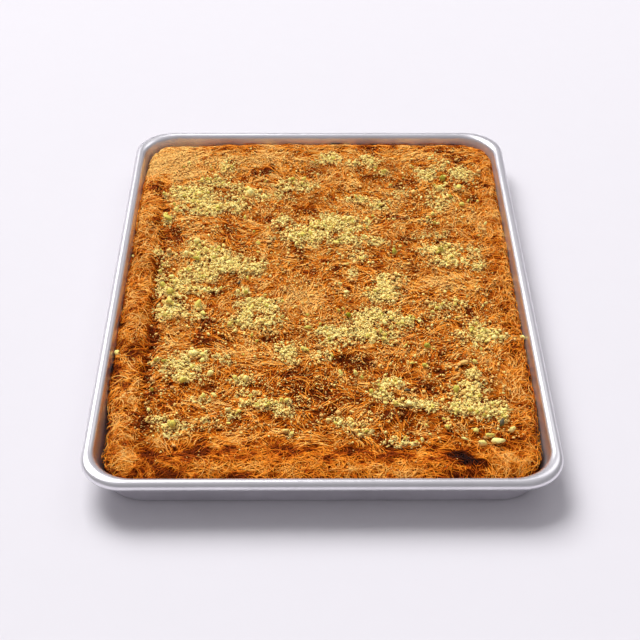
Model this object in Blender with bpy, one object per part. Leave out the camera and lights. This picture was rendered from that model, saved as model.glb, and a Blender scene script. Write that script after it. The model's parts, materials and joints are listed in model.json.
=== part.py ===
"""Kunafa in its baking tray: a slab of shredded pastry with ground pistachio on it.

The tray is one sheet of aluminium with flared walls, round corners and a rolled rim.
The slab has a rolled lip along its left edge with a groove beside it, a swollen band
along its near edge, low swirls, and pistachio and loose shreds fused to its top.
Origin: the middle of the tray's underside. X to the right, Y away, Z up, in metres.
"""
import math
import random

import bmesh
import bpy
from mathutils import Vector, noise
from mathutils.bvhtree import BVHTree

# Tray, measured over its rolled rim
TRAY_WIDTH = 0.331
TRAY_DEPTH = 0.460
TRAY_HEIGHT = 0.030
SHEET = 0.0010
BEAD_RADIUS = 0.0043
RIM_CORNER = 0.0298
CORNER_SHRINK = 0.08
FOOT_INSET = 0.0140
FOOT_FILLET = 0.0040
CORNER_STEPS = 8
BEAD_STEPS = 12
FILLET_STEPS = 3

# Slab of pastry, measured at its top edge
SLAB_WIDTH = 0.309
SLAB_DEPTH = 0.437
SLAB_TOP = 0.0240
SLAB_CORNER = 0.030
FLOOR_GAP = 0.0003
WALL_GAP = 0.0005
SIDE_FOLD = 0.0198
WALL_LEVELS = (0.0150, 0.0095, 0.0045)
CORNER_CELLS = 5
CELLS_ACROSS = 34
CELLS_ALONG = 50

# Form of the slab's top
LIP_MIDDLE = -0.1430
LIP_HALF = 0.0125
LIP_RISE = 0.0017
GROOVE_X = -0.1300
GROOVE_LEAN = -0.017
GROOVE_HALF = 0.0070
GROOVE_DEPTH = 0.0042
GROOVE_ENDS = (-0.196, 0.128)
NEAR_BAND_Y = -0.2020
NEAR_BAND_HALF = 0.0160
NEAR_BAND_RISE = 0.0018
EDGE_ROUND = 0.0080
EDGE_DROP = 0.0030
SWELL_SIZE = 0.055
SWELL_RISE = 0.0013
SWIRL_SIZE = 0.045
SWIRL_TURN = 1.6
RIDGE_SIZE = 0.015
RIDGE_STRETCH = 0.45
RIDGE_RISE = 0.0011
FRAY = 0.0011
FRAY_SIZE = 0.011

# Where the slab shrank from the wall: middle x and y, reach in x and y, shift in x and y
SHRUNK = (
    (-0.1545, -0.180, 0.045, 0.060, 0.0070, 0.0000),
    (-0.1545, 0.200, 0.045, 0.055, 0.0042, 0.0000),
    (-0.1200, 0.2185, 0.060, 0.045, 0.0000, -0.0045),
    (0.1545, 0.000, 0.045, 0.330, -0.0018, 0.0000),
    (0.1545, -0.210, 0.045, 0.080, -0.0060, 0.0000),
)
SHRUNK_BELOW = 0.0095

# Ground pistachio lies in drifts: middle x, middle y, half width, half depth
DRIFTS = (
    (-0.100, 0.140, 0.035, 0.040),
    (-0.035, 0.136, 0.035, 0.026),
    (-0.020, 0.081, 0.028, 0.019),
    (-0.074, 0.032, 0.034, 0.034),
    (-0.106, -0.017, 0.029, 0.015),
    (0.026, 0.187, 0.030, 0.013),
    (0.114, 0.163, 0.027, 0.017),
    (0.042, 0.118, 0.015, 0.009),
    (0.103, 0.123, 0.018, 0.014),
    (0.021, 0.080, 0.030, 0.021),
    (0.104, 0.047, 0.030, 0.024),
    (0.055, 0.001, 0.014, 0.025),
    (-0.051, -0.043, 0.020, 0.020),
    (-0.093, -0.101, 0.021, 0.018),
    (-0.040, -0.141, 0.020, 0.011),
    (-0.110, -0.165, 0.012, 0.009),
    (0.034, -0.065, 0.037, 0.026),
    (0.129, -0.062, 0.024, 0.010),
    (0.059, -0.128, 0.024, 0.014),
    (0.115, -0.138, 0.021, 0.030),
)
DRIFT_RISE = 0.0008
DRIFT_REACH = 1.25
DRIFT_STEEPNESS = 1.8
AREA_A_NUT = 0.00050

# The largest pieces of nut, where they lie: x, y, length
BIG_NUTS = (
    (0.1236, -0.1666, 0.0070),
    (0.0230, -0.0421, 0.0062),
    (0.1085, 0.1606, 0.0052),
    (0.1240, 0.1430, 0.0056),
    (0.1030, 0.0450, 0.0060),
    (0.0640, 0.0470, 0.0056),
    (-0.0590, 0.1370, 0.0058),
    (-0.0960, 0.0640, 0.0058),
    (-0.0930, 0.0400, 0.0060),
    (-0.0880, -0.0240, 0.0054),
    (-0.0960, -0.1190, 0.0064),
    (-0.1020, -0.1690, 0.0058),
    (0.1070, -0.1780, 0.0056),
    (0.1150, -0.1805, 0.0056),
    (0.1210, -0.1870, 0.0058),
    (0.0660, -0.1230, 0.0052),
)
NUT_LENGTH = (0.0030, 0.0044)
NUT_FORM = (1.0, 0.68, 0.62)
NUT_CHIPS = (0.88, 1.08)
NUT_LIFT = 0.10

# Loose shreds that lie on the slab
SHREDS = 34
SHRED_WIDTH = 0.0015
SHRED_STEPS = 7
SHRED_BEND = (0.010, 0.026)
SHRED_TURN = (0.7, 1.5)
SHRED_RISE = 0.55
SHRED_DIP = 1.3
EDGE_MARGIN = 0.009
BARE_COVER = 0.6
SPACING = 0.0072
SEED = 41


def clear_scene():
    """Take away whatever the scene holds."""
    for item in list(bpy.data.objects):
        bpy.data.objects.remove(item, do_unlink=True)


def finish(name, colour, metallic, roughness):
    """Make one plain finish."""
    material = bpy.data.materials.new(name)
    material.use_nodes = True
    shader = material.node_tree.nodes["Principled BSDF"]
    shader.inputs["Base Color"].default_value = (*colour, 1.0)
    shader.inputs["Metallic"].default_value = metallic
    shader.inputs["Roughness"].default_value = roughness
    return material


def add_object(name, bm, material):
    """Turn a bmesh into a named object of the scene."""
    mesh = bpy.data.meshes.new(name)
    bm.to_mesh(mesh)
    bm.free()
    mesh.materials.append(material)
    item = bpy.data.objects.new(name, mesh)
    bpy.context.scene.collection.objects.link(item)
    return item


def rounded_ring(inset, height, corner):
    """Points of one rounded rectangle, drawn in from the rim's outer edge."""
    half_x = TRAY_WIDTH / 2 - inset - corner
    half_y = TRAY_DEPTH / 2 - inset - corner
    points = []
    for quarter, (side_x, side_y) in enumerate(((1, 1), (-1, 1), (-1, -1), (1, -1))):
        for step in range(CORNER_STEPS + 1):
            angle = math.pi / 2 * (quarter + step / CORNER_STEPS)
            x = side_x * half_x + corner * math.cos(angle)
            y = side_y * half_y + corner * math.sin(angle)
            points.append(Vector((x, y, height)))
    return points


def arc(middle, radius, start, end, steps):
    """Points of an arc in the section, as (inset, height)."""
    points = []
    for step in range(steps + 1):
        angle = start + (end - start) * step / steps
        points.append((middle[0] + radius * math.cos(angle), middle[1] + radius * math.sin(angle)))
    return points


def wall_lean():
    """Slope of the wall: how far it goes inward for each metre that it goes down."""
    lean = FOOT_INSET / TRAY_HEIGHT
    for _ in range(20):
        tilt = math.atan(lean)
        reach = FOOT_INSET + SHEET / math.cos(tilt) - BEAD_RADIUS * (1 + math.cos(tilt))
        lean = reach / (TRAY_HEIGHT - BEAD_RADIUS + BEAD_RADIUS * math.sin(tilt))
    return lean


def inner_wall_inset(height):
    """Inset of the wall's inner face at a height."""
    tilt = math.atan(wall_lean())
    top_inset = BEAD_RADIUS * (1 + math.cos(tilt))
    top_height = TRAY_HEIGHT - BEAD_RADIUS + BEAD_RADIUS * math.sin(tilt)
    return top_inset + (top_height - height) * math.tan(tilt)


def tray_section():
    """The sheet's section, from the inside of the floor over the rim to the underside."""
    tilt = math.atan(wall_lean())
    bead_middle = (BEAD_RADIUS, TRAY_HEIGHT - BEAD_RADIUS)
    fillet_inset = inner_wall_inset(FOOT_FILLET) + (FOOT_FILLET - SHEET) / math.cos(tilt)
    fillet_middle = (fillet_inset, FOOT_FILLET)
    inside = arc(fillet_middle, FOOT_FILLET - SHEET, 1.5 * math.pi, math.pi + tilt, FILLET_STEPS)
    bead = arc(bead_middle, BEAD_RADIUS, tilt, math.radians(300), BEAD_STEPS)
    outside = arc(fillet_middle, FOOT_FILLET, math.pi + tilt, 1.5 * math.pi, FILLET_STEPS)
    under_bead = TRAY_HEIGHT - 2.0 * BEAD_RADIUS
    neck = (inner_wall_inset(under_bead) - SHEET / math.cos(tilt), under_bead)
    return inside + bead + [neck] + outside


def make_tray():
    """Loft the sheet's section round the tray and close the floor on both faces."""
    bm = bmesh.new()
    rings = []
    for inset, height in tray_section():
        corner = RIM_CORNER - CORNER_SHRINK * inset
        rings.append([bm.verts.new(point) for point in rounded_ring(inset, height, corner)])
    for inner, outer in zip(rings, rings[1:]):
        count = len(inner)
        for place in range(count):
            following = (place + 1) % count
            bm.faces.new((inner[place], inner[following], outer[following], outer[place]))
    bm.faces.new(rings[0])
    bm.faces.new(reversed(rings[-1]))
    bmesh.ops.recalc_face_normals(bm, faces=bm.faces)
    metal = finish("aluminium", (0.80, 0.80, 0.81), 1.0, 0.32)
    tray = add_object("tray", bm, metal)
    tray.data.shade_smooth()
    tray.data.set_sharp_from_angle(angle=math.radians(35))
    return tray


def bump(distance, half):
    """A smooth rise of height 1 in the middle that ends at half."""
    share = min(abs(distance) / half, 1.0)
    return (1.0 - share * share) ** 2


def edge_distance(x, y):
    """How far a point lies inside the slab's rounded outline."""
    over_x = abs(x) - (SLAB_WIDTH / 2 - SLAB_CORNER)
    over_y = abs(y) - (SLAB_DEPTH / 2 - SLAB_CORNER)
    if over_x > 0.0 and over_y > 0.0:
        return SLAB_CORNER - math.hypot(over_x, over_y)
    return SLAB_CORNER - max(over_x, over_y)


def groove_strength(y):
    """How open the groove is along its length."""
    near, far = GROOVE_ENDS
    return math.sqrt(bump(y - (near + far) / 2, (far - near) / 2))


def drift_cover(x, y):
    """How thickly ground pistachio lies at a point, from 0 to 1."""
    cover = 0.0
    for mid_x, mid_y, half_x, half_y in DRIFTS:
        reach = math.hypot((x - mid_x) / half_x, (y - mid_y) / half_y)
        cover = max(cover, min(1.0, max(0.0, DRIFT_REACH - reach) * DRIFT_STEEPNESS))
    return cover


def swell(x, y):
    """Broad unevenness and the finer ridges of matted shreds."""
    broad = noise.noise(Vector((x, y, 0.3)) / SWELL_SIZE)
    turn = SWIRL_TURN * noise.noise(Vector((x, y, 7.0)) / SWIRL_SIZE)
    along = x * math.cos(turn) + y * math.sin(turn)
    across = y * math.cos(turn) - x * math.sin(turn)
    ridge = noise.noise(Vector((along * RIDGE_STRETCH, across, 2.0)) / RIDGE_SIZE)
    return SWELL_RISE * broad + RIDGE_RISE * ridge


def top_height(x, y):
    """Height of the slab's top at a point."""
    groove_middle = GROOVE_X + GROOVE_LEAN * y
    height = SLAB_TOP + swell(x, y)
    height += LIP_RISE * bump(x - LIP_MIDDLE, LIP_HALF)
    height -= GROOVE_DEPTH * groove_strength(y) * bump(x - groove_middle, GROOVE_HALF)
    height += NEAR_BAND_RISE * bump(y - NEAR_BAND_Y, NEAR_BAND_HALF)
    height += DRIFT_RISE * drift_cover(x, y)
    lack = max(0.0, 1.0 - max(0.0, edge_distance(x, y)) / EDGE_ROUND)
    return height - EDGE_DROP * lack * lack


def slab_column(cell, middle_cells, size):
    """Place of a grid line: even steps in the middle and in each corner."""
    half = size / 2
    straight = half - SLAB_CORNER
    if cell <= CORNER_CELLS:
        return -half + SLAB_CORNER * cell / CORNER_CELLS
    if cell <= CORNER_CELLS + middle_cells:
        return -straight + 2 * straight * (cell - CORNER_CELLS) / middle_cells
    return straight + SLAB_CORNER * (cell - CORNER_CELLS - middle_cells) / CORNER_CELLS


def round_corner(x, y):
    """Move a point of a square corner onto the round one, and leave all others."""
    straight_x = SLAB_WIDTH / 2 - SLAB_CORNER
    straight_y = SLAB_DEPTH / 2 - SLAB_CORNER
    over_x = (abs(x) - straight_x) / SLAB_CORNER
    over_y = (abs(y) - straight_y) / SLAB_CORNER
    if over_x <= 0.0 or over_y <= 0.0:
        return x, y
    round_x = over_x * math.sqrt(1.0 - over_y * over_y / 2)
    round_y = over_y * math.sqrt(1.0 - over_x * over_x / 2)
    new_x = math.copysign(straight_x + round_x * SLAB_CORNER, x)
    new_y = math.copysign(straight_y + round_y * SLAB_CORNER, y)
    return new_x, new_y


def fray_at(x, y, height):
    """Uneven reach of the slab's side."""
    return FRAY * noise.noise(Vector((x, y, height)) / FRAY_SIZE)


def side_levels():
    """Levels of the slab's side: height, inset from the rim, corner radius, share of fray."""
    rim_inset = (TRAY_WIDTH - SLAB_WIDTH) / 2
    floor = SHEET + FLOOR_GAP
    levels = [(SIDE_FOLD, rim_inset, SLAB_CORNER, 0.7)]
    for height in WALL_LEVELS:
        inset = inner_wall_inset(height) + WALL_GAP
        levels.append((height, inset, RIM_CORNER - CORNER_SHRINK * inset, 0.0))
    inset = inner_wall_inset(floor) + FOOT_FILLET
    levels.append((floor, inset, RIM_CORNER - CORNER_SHRINK * inset, 0.0))
    return levels


def level_point(point, normal, inset, corner, reach):
    """The point of another level's rounded outline that lies below a point of the top edge."""
    share_x = max(-1.0, min(1.0, point.x / (SLAB_WIDTH / 2 - SLAB_CORNER)))
    share_y = max(-1.0, min(1.0, point.y / (SLAB_DEPTH / 2 - SLAB_CORNER)))
    x = share_x * (TRAY_WIDTH / 2 - inset - corner) + normal.x * (corner + reach)
    y = share_y * (TRAY_DEPTH / 2 - inset - corner) + normal.y * (corner + reach)
    return x, y


def outline_normal(point):
    """Direction straight out of the slab's rounded outline."""
    over_x = abs(point.x) - (SLAB_WIDTH / 2 - SLAB_CORNER)
    over_y = abs(point.y) - (SLAB_DEPTH / 2 - SLAB_CORNER)
    outward = Vector((max(over_x, 0.0), max(over_y, 0.0), 0.0))
    if over_x <= 0.0 or over_y <= 0.0:
        outward = Vector((1.0, 0.0, 0.0)) if over_x > over_y else Vector((0.0, 1.0, 0.0))
    outward.x = math.copysign(outward.x, point.x)
    outward.y = math.copysign(outward.y, point.y)
    return outward.normalized()


def draw_in(bm):
    """Draw the slab in from the wall where it shrank, most at its top and not low down."""
    for vert in bm.verts:
        x, y, z = vert.co
        share = max(0.0, min(1.0, (z - SHRUNK_BELOW) / (SIDE_FOLD - SHRUNK_BELOW)))
        for mid_x, mid_y, reach_x, reach_y, shift_x, shift_y in SHRUNK:
            amount = share * bump(x - mid_x, reach_x) * bump(y - mid_y, reach_y)
            vert.co.x += shift_x * amount
            vert.co.y += shift_y * amount


def ordered_rim(bm):
    """The grid's boundary points, one after the other."""
    rim = [edge for edge in bm.edges if edge.is_boundary]
    start = rim[0].verts[0]
    loop = [start]
    edge = rim[0]
    point = edge.other_vert(start)
    while point is not start:
        loop.append(point)
        edge = next(e for e in point.link_edges if e.is_boundary and e is not edge)
        point = edge.other_vert(point)
    return loop


def make_slab(crust):
    """Grid for the top, then the side level by level, then the underside."""
    bm = bmesh.new()
    across = CELLS_ACROSS + 2 * CORNER_CELLS
    along = CELLS_ALONG + 2 * CORNER_CELLS
    bmesh.ops.create_grid(bm, x_segments=across, y_segments=along, size=0.5)
    for vert in bm.verts:
        x = slab_column(round((vert.co.x + 0.5) * across), CELLS_ACROSS, SLAB_WIDTH)
        y = slab_column(round((vert.co.y + 0.5) * along), CELLS_ALONG, SLAB_DEPTH)
        vert.co.xy = round_corner(x, y)
        vert.co.z = top_height(vert.co.x, vert.co.y)
    loop = ordered_rim(bm)
    normals = [outline_normal(vert.co) for vert in loop]
    outline = [vert.co.copy() for vert in loop]
    for vert, normal in zip(loop, normals):
        vert.co += normal * fray_at(vert.co.x, vert.co.y, vert.co.z)
    for height, inset, corner, frayed in side_levels():
        lower = []
        for place, normal in zip(outline, normals):
            reach = frayed * fray_at(place.x, place.y, height)
            lower.append(bm.verts.new((*level_point(place, normal, inset, corner, reach), height)))
        for place in range(len(loop)):
            following = (place + 1) % len(loop)
            bm.faces.new((loop[place], loop[following], lower[following], lower[place]))
        loop = lower
    bm.faces.new(loop)
    draw_in(bm)
    bmesh.ops.recalc_face_normals(bm, faces=bm.faces)
    return add_object("kunafa", bm, crust)


def ground(tree, x, y):
    """Height of the slab under a point."""
    hit = tree.ray_cast(Vector((x, y, 0.1)), Vector((0.0, 0.0, -1.0)))
    return hit[0].z


def clear_of(placed, x, y, spacing):
    """True where no earlier piece lies too close, and the edge is not near."""
    if edge_distance(x, y) < EDGE_MARGIN:
        return False
    return all(math.hypot(x - other[0], y - other[1]) > spacing for other in placed)


def make_nut(draw, tree, x, y, length, crust):
    """One broken piece of nut, half sunk in the slab."""
    bm = bmesh.new()
    bmesh.ops.create_icosphere(bm, subdivisions=1, radius=length / 2)
    turn = draw.uniform(0.0, math.pi)
    height = ground(tree, x, y) + length * NUT_LIFT
    for vert in bm.verts:
        spot = vert.co * Vector(NUT_FORM) * draw.uniform(*NUT_CHIPS)
        vert.co.x = x + spot.x * math.cos(turn) - spot.y * math.sin(turn)
        vert.co.y = y + spot.x * math.sin(turn) + spot.y * math.cos(turn)
        vert.co.z = height + spot.z
    return add_object("nut", bm, crust)


def shred_path(draw, x, y):
    """A loose curl that starts at a point, as (x, y) and a sideways direction."""
    heading = draw.uniform(0.0, 2.0 * math.pi)
    radius = draw.uniform(*SHRED_BEND)
    turn = draw.choice((-1.0, 1.0)) * draw.uniform(*SHRED_TURN)
    step = radius * abs(turn) / SHRED_STEPS
    path = []
    for count in range(SHRED_STEPS + 1):
        path.append((x, y, -math.sin(heading), math.cos(heading)))
        x += step * math.cos(heading)
        y += step * math.sin(heading)
        heading += turn / SHRED_STEPS
    return path


def make_shred(tree, path, crust):
    """A strip with a roof-shaped section that dips into the slab at both ends."""
    bm = bmesh.new()
    rings = []
    for count, (x, y, side_x, side_y) in enumerate(path):
        share = count / SHRED_STEPS
        rise = SHRED_WIDTH * (SHRED_RISE - SHRED_DIP * (2.0 * share - 1.0) ** 6)
        half = SHRED_WIDTH / 2
        base = ground(tree, x, y)
        ring = [(x + side_x * half, y + side_y * half, base - half)]
        ring.append((x, y, base + rise))
        ring.append((x - side_x * half, y - side_y * half, base - half))
        rings.append([bm.verts.new(point) for point in ring])
    for first, second in zip(rings, rings[1:]):
        for place in range(3):
            following = (place + 1) % 3
            bm.faces.new((first[place], first[following], second[following], second[place]))
    bm.faces.new(rings[0])
    bm.faces.new(rings[-1])
    bmesh.ops.recalc_face_normals(bm, faces=bm.faces)
    return add_object("shred", bm, crust)


def scatter_nuts(draw, tree, crust, placed):
    """The largest pieces where they lie, then smaller ones in every drift."""
    pieces = []
    for x, y, length in BIG_NUTS:
        placed.append((x, y))
        pieces.append(make_nut(draw, tree, x, y, length, crust))
    for mid_x, mid_y, half_x, half_y in DRIFTS:
        wanted = round(math.pi * half_x * half_y / AREA_A_NUT)
        for _ in range(12 * wanted):
            x = mid_x + draw.uniform(-0.9, 0.9) * half_x
            y = mid_y + draw.uniform(-0.9, 0.9) * half_y
            if wanted > 0 and clear_of(placed, x, y, SPACING):
                placed.append((x, y))
                pieces.append(make_nut(draw, tree, x, y, draw.uniform(*NUT_LENGTH), crust))
                wanted -= 1
    return pieces


def scatter_shreds(draw, tree, crust, placed):
    """Loose curls on the bare parts of the slab."""
    pieces = []
    while len(pieces) < SHREDS:
        x = draw.uniform(-0.5, 0.5) * SLAB_WIDTH
        y = draw.uniform(-0.5, 0.5) * SLAB_DEPTH
        path = shred_path(draw, x, y)
        bare = all(drift_cover(spot[0], spot[1]) < BARE_COVER for spot in path)
        if bare and all(clear_of(placed, spot[0], spot[1], SPACING) for spot in path):
            placed.extend((spot[0], spot[1]) for spot in path)
            pieces.append(make_shred(tree, path, crust))
    return pieces


def fuse(slab, pieces):
    """Join the loose pieces to the slab with one union, and take them away."""
    group = bpy.data.collections.new("toppings")
    bpy.context.scene.collection.children.link(group)
    for piece in pieces:
        bpy.context.scene.collection.objects.unlink(piece)
        group.objects.link(piece)
    union = slab.modifiers.new("toppings", "BOOLEAN")
    union.operation = "UNION"
    union.operand_type = "COLLECTION"
    union.collection = group
    union.solver = "EXACT"
    bpy.context.view_layer.objects.active = slab
    bpy.ops.object.modifier_apply(modifier=union.name)
    for piece in pieces:
        bpy.data.objects.remove(piece, do_unlink=True)
    bpy.data.collections.remove(group)


def make_kunafa():
    """The slab with its nuts and loose shreds, as one body."""
    crust = finish("baked_pastry", (0.52, 0.19, 0.035), 0.0, 0.55)
    slab = make_slab(crust)
    draw = random.Random(SEED)
    bpy.context.view_layer.update()
    tree = BVHTree.FromObject(slab, bpy.context.evaluated_depsgraph_get())
    placed = []
    pieces = scatter_nuts(draw, tree, crust, placed)
    pieces += scatter_shreds(draw, tree, crust, placed)
    fuse(slab, pieces)
    return slab


clear_scene()
make_tray()
make_kunafa()
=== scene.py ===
"""Looks of a tray of kunafa: matted and loose shreds of pastry, ground pistachio and sheet metal.

Origin: the middle of the tray's underside. X to the right, Y away, Z up, in metres.
"""

import functools
import json
import math
from collections import namedtuple

import bmesh
import bpy
import numpy as np
from bpy.props import FloatProperty, FloatVectorProperty, IntProperty, PointerProperty
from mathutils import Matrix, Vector, noise

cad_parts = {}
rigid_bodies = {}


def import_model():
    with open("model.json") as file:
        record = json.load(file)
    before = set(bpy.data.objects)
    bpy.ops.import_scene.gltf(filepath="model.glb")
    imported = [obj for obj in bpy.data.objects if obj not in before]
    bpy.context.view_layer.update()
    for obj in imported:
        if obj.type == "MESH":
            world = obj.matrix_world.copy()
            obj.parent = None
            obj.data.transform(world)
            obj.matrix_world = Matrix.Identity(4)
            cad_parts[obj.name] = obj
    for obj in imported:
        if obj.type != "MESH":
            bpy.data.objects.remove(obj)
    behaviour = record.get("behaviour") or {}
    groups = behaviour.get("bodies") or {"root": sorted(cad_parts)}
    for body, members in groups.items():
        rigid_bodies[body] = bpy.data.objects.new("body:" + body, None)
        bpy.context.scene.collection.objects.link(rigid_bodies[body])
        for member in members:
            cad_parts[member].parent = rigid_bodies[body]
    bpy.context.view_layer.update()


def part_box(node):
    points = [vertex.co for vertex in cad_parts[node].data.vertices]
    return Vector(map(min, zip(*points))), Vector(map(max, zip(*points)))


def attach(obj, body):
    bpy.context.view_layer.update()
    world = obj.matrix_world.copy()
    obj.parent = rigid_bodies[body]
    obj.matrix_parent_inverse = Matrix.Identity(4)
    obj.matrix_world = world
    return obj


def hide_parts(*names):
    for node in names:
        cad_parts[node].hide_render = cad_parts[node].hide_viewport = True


bl_info = {
    "name": "Kunafa in a Tray",
    "version": (1, 0, 0),
    "blender": (4, 5, 0),
    "location": "3D View > Sidebar > Kunafa",
    "description": "Shredded pastry with ground pistachio in an aluminium baking tray",
    "category": "Object",
}

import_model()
TRAY_LOW, TRAY_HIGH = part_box("tray")
FULL_TURN = 2.0 * math.pi


def in_metres(*rows, lengths=4):
    """Rows of numbers, of which the first few are lengths given in millimetres."""
    table = np.array(rows, dtype=float)
    table[:, :lengths] /= 1000
    return table


# Form of the slab's top, as the solid has it
LIP_MIDDLE = -0.1430
LIP_HALF = 0.0125
LIP_RISE = 0.0017
GROOVE_X = -0.1300
GROOVE_LEAN = -0.017
GROOVE_HALF = 0.0070
GROOVE_DEPTH = 0.0042
GROOVE_ENDS = (-0.196, 0.128)
NEAR_BAND_Y = -0.2020
NEAR_BAND_HALF = 0.0160
NEAR_BAND_RISE = 0.0018
EDGE_ROUND = 0.0080
EDGE_DROP = 0.0030
SWELL_SIZE = 0.055
SWELL_RISE = 0.0013
SWIRL_SIZE = 0.045
SWIRL_TURN = 1.6
RIDGE_SIZE = 0.015
RIDGE_STRETCH = 0.45
RIDGE_RISE = 0.0011

# Form of the bed below its top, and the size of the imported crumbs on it
FLOOR_GAP = 0.0003
WALL_GAP = 0.0005
SIDE_FOLD = 0.0198
SHRUNK_BELOW = 0.0095
SIDE_RINGS = (SIDE_FOLD, 0.0150, SHRUNK_BELOW, 0.0070, 0.0045)
BED_CELLS = (195, 276)
CRUMB_CELL = 0.0019

# Where the slab shrank from the wall, in mm: middle x and y, reach in x and y, shift in x and y
SHRUNK = in_metres(
    (-154.5, -180, 45, 60, 7, 0), (-154.5, 200, 45, 55, 4.2, 0), (-120, 218.5, 60, 45, 0, -4.5),
    (154.5, 0, 45, 330, -1.8, 0), (154.5, -210, 45, 80, -6, 0),
    lengths=6,
)

# The top is surveyed on a map of 1 mm cells: 165 to each side of the middle, 229 to front and back
MAP_CELL = 0.001
MAP_X = np.arange(-165, 166) * MAP_CELL
MAP_Y = np.arange(-229, 230) * MAP_CELL
MAP_PLACES = np.meshgrid(MAP_X, MAP_Y)

# Ground pistachio lies in drifts: middle x and y, half width and depth in mm, thickness
DRIFTS = in_metres(
    (-82, 176, 8, 11, 0.8), (-124, 138, 8, 6, 0.7), (-107, 131, 17, 15, 1), (-92, 151, 13, 7, 0.8),
    (-93, 113, 14, 11, 1), (-74, 118, 11, 11, 0.9), (-115, 112, 11, 9, 0.6), (-70, 141, 9, 9, 0.7),
    (-59, 134, 8, 7, 0.9), (-21, 146, 17, 8, 0.8), (-41, 131, 13, 8, 0.5), (-32, 91, 7, 9, 0.9),
    (-12, 69, 18, 14, 1), (-40, 67, 6, 4, 0.6), (-129, 95, 5, 7, 0.9), (-133, 130, 3, 6, 0.8),
    (-134, 49, 4, 6, 0.8), (-126, 43, 5, 4, 0.8), (-101, 58, 7, 5, 0.9), (-94, 45, 18, 9, 0.9),
    (-80, 29, 24, 11, 1), (-60, 23, 17, 10, 0.9), (-96, 14, 15, 10, 0.9), (-111, 5, 11, 8, 0.9),
    (-129, 18, 5, 18, 0.5), (9, 191, 12, 8, 0.9), (44, 187, 9, 8, 0.8), (28, 182, 6, 5, 0.6),
    (57, 168, 4, 5, 0.7), (95, 165, 9, 11, 0.8), (110, 177, 4, 7, 0.7), (127, 164, 10, 11, 0.9),
    (104, 140, 6, 8, 0.8), (121, 141, 4, 4, 0.9), (34, 124, 9, 6, 0.8), (50, 117, 9, 7, 0.8),
    (70, 133, 11, 6, 0.5), (104, 119, 10, 12, 0.6), (92, 93, 6, 4, 0.6), (12, 86, 21, 14, 1),
    (27, 63, 15, 7, 0.9), (46, 62, 11, 9, 0.6), (93, 69, 14, 4, 0.5), (98, 49, 16, 9, 0.8),
    (107, 34, 17, 8, 0.8), (127, 47, 7, 6, 0.6), (127, 28, 8, 7, 0.6), (30, 41, 13, 7, 0.5),
    (25, 18, 6, 6, 0.6), (54, 8, 11, 8, 0.9), (50, -9, 12, 13, 0.9), (41, -42, 17, 11, 1),
    (64, -47, 9, 7, 0.9), (31, -61, 20, 11, 1), (10, -62, 13, 11, 1), (52, -66, 8, 7, 0.7),
    (4, -86, 5, 8, 0.8), (100, -25, 17, 7, 0.5), (92, -40, 12, 6, 0.4), (122, -64, 15, 10, 0.9),
    (139, -68, 6, 4, 0.6), (122, -50, 10, 6, 0.6), (49, -119, 11, 6, 0.9), (45, -131, 8, 6, 0.9),
    (62, -140, 12, 5, 0.7), (76, -143, 9, 7, 0.9), (112, -109, 6, 8, 0.9), (108, -129, 11, 13, 0.9),
    (100, -145, 11, 8, 1), (120, -149, 13, 8, 1), (129, -156, 6, 5, 0.8), (18, -161, 13, 6, 0.6),
    (28, -170, 9, 5, 0.6), (56, -182, 12, 5, 0.7), (-125, -6, 7, 7, 1), (-117, -13, 9, 5, 0.8),
    (-101, -5, 18, 5, 0.8), (-118, -30, 11, 11, 1), (-101, -38, 10, 5, 0.8), (-96, -27, 5, 4, 0.8),
    (-48, -27, 15, 10, 1), (-59, -44, 11, 10, 1), (-44, -46, 13, 9, 0.9), (-63, -9, 6, 6, 0.7),
    (-40, -58, 6, 5, 0.6), (-72, -93, 5, 6, 0.8), (-94, -88, 13, 6, 0.9), (-103, -99, 12, 7, 1),
    (-100, -112, 11, 6, 0.9), (-124, -94, 4, 5, 0.7), (-117, -105, 5, 5, 0.7), (-27, -85, 8, 8, 1),
    (-21, -95, 5, 4, 0.8), (-2, -88, 4, 7, 0.7), (-57, -117, 10, 5, 0.8), (-54, -130, 9, 4, 0.6),
    (-86, -137, 8, 3, 0.7), (-41, -143, 15, 5, 0.9), (-28, -150, 8, 5, 0.8), (-26, -140, 5, 4, 0.7),
    (-65, -153, 6, 4, 0.7), (-106, -165, 11, 5, 0.8), (-118, -158, 7, 4, 0.7), (-108, -175, 6, 3, 0.7),
    (-84, -160, 6, 3, 0.6), (-22, -175, 5, 4, 0.6),
)

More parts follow.
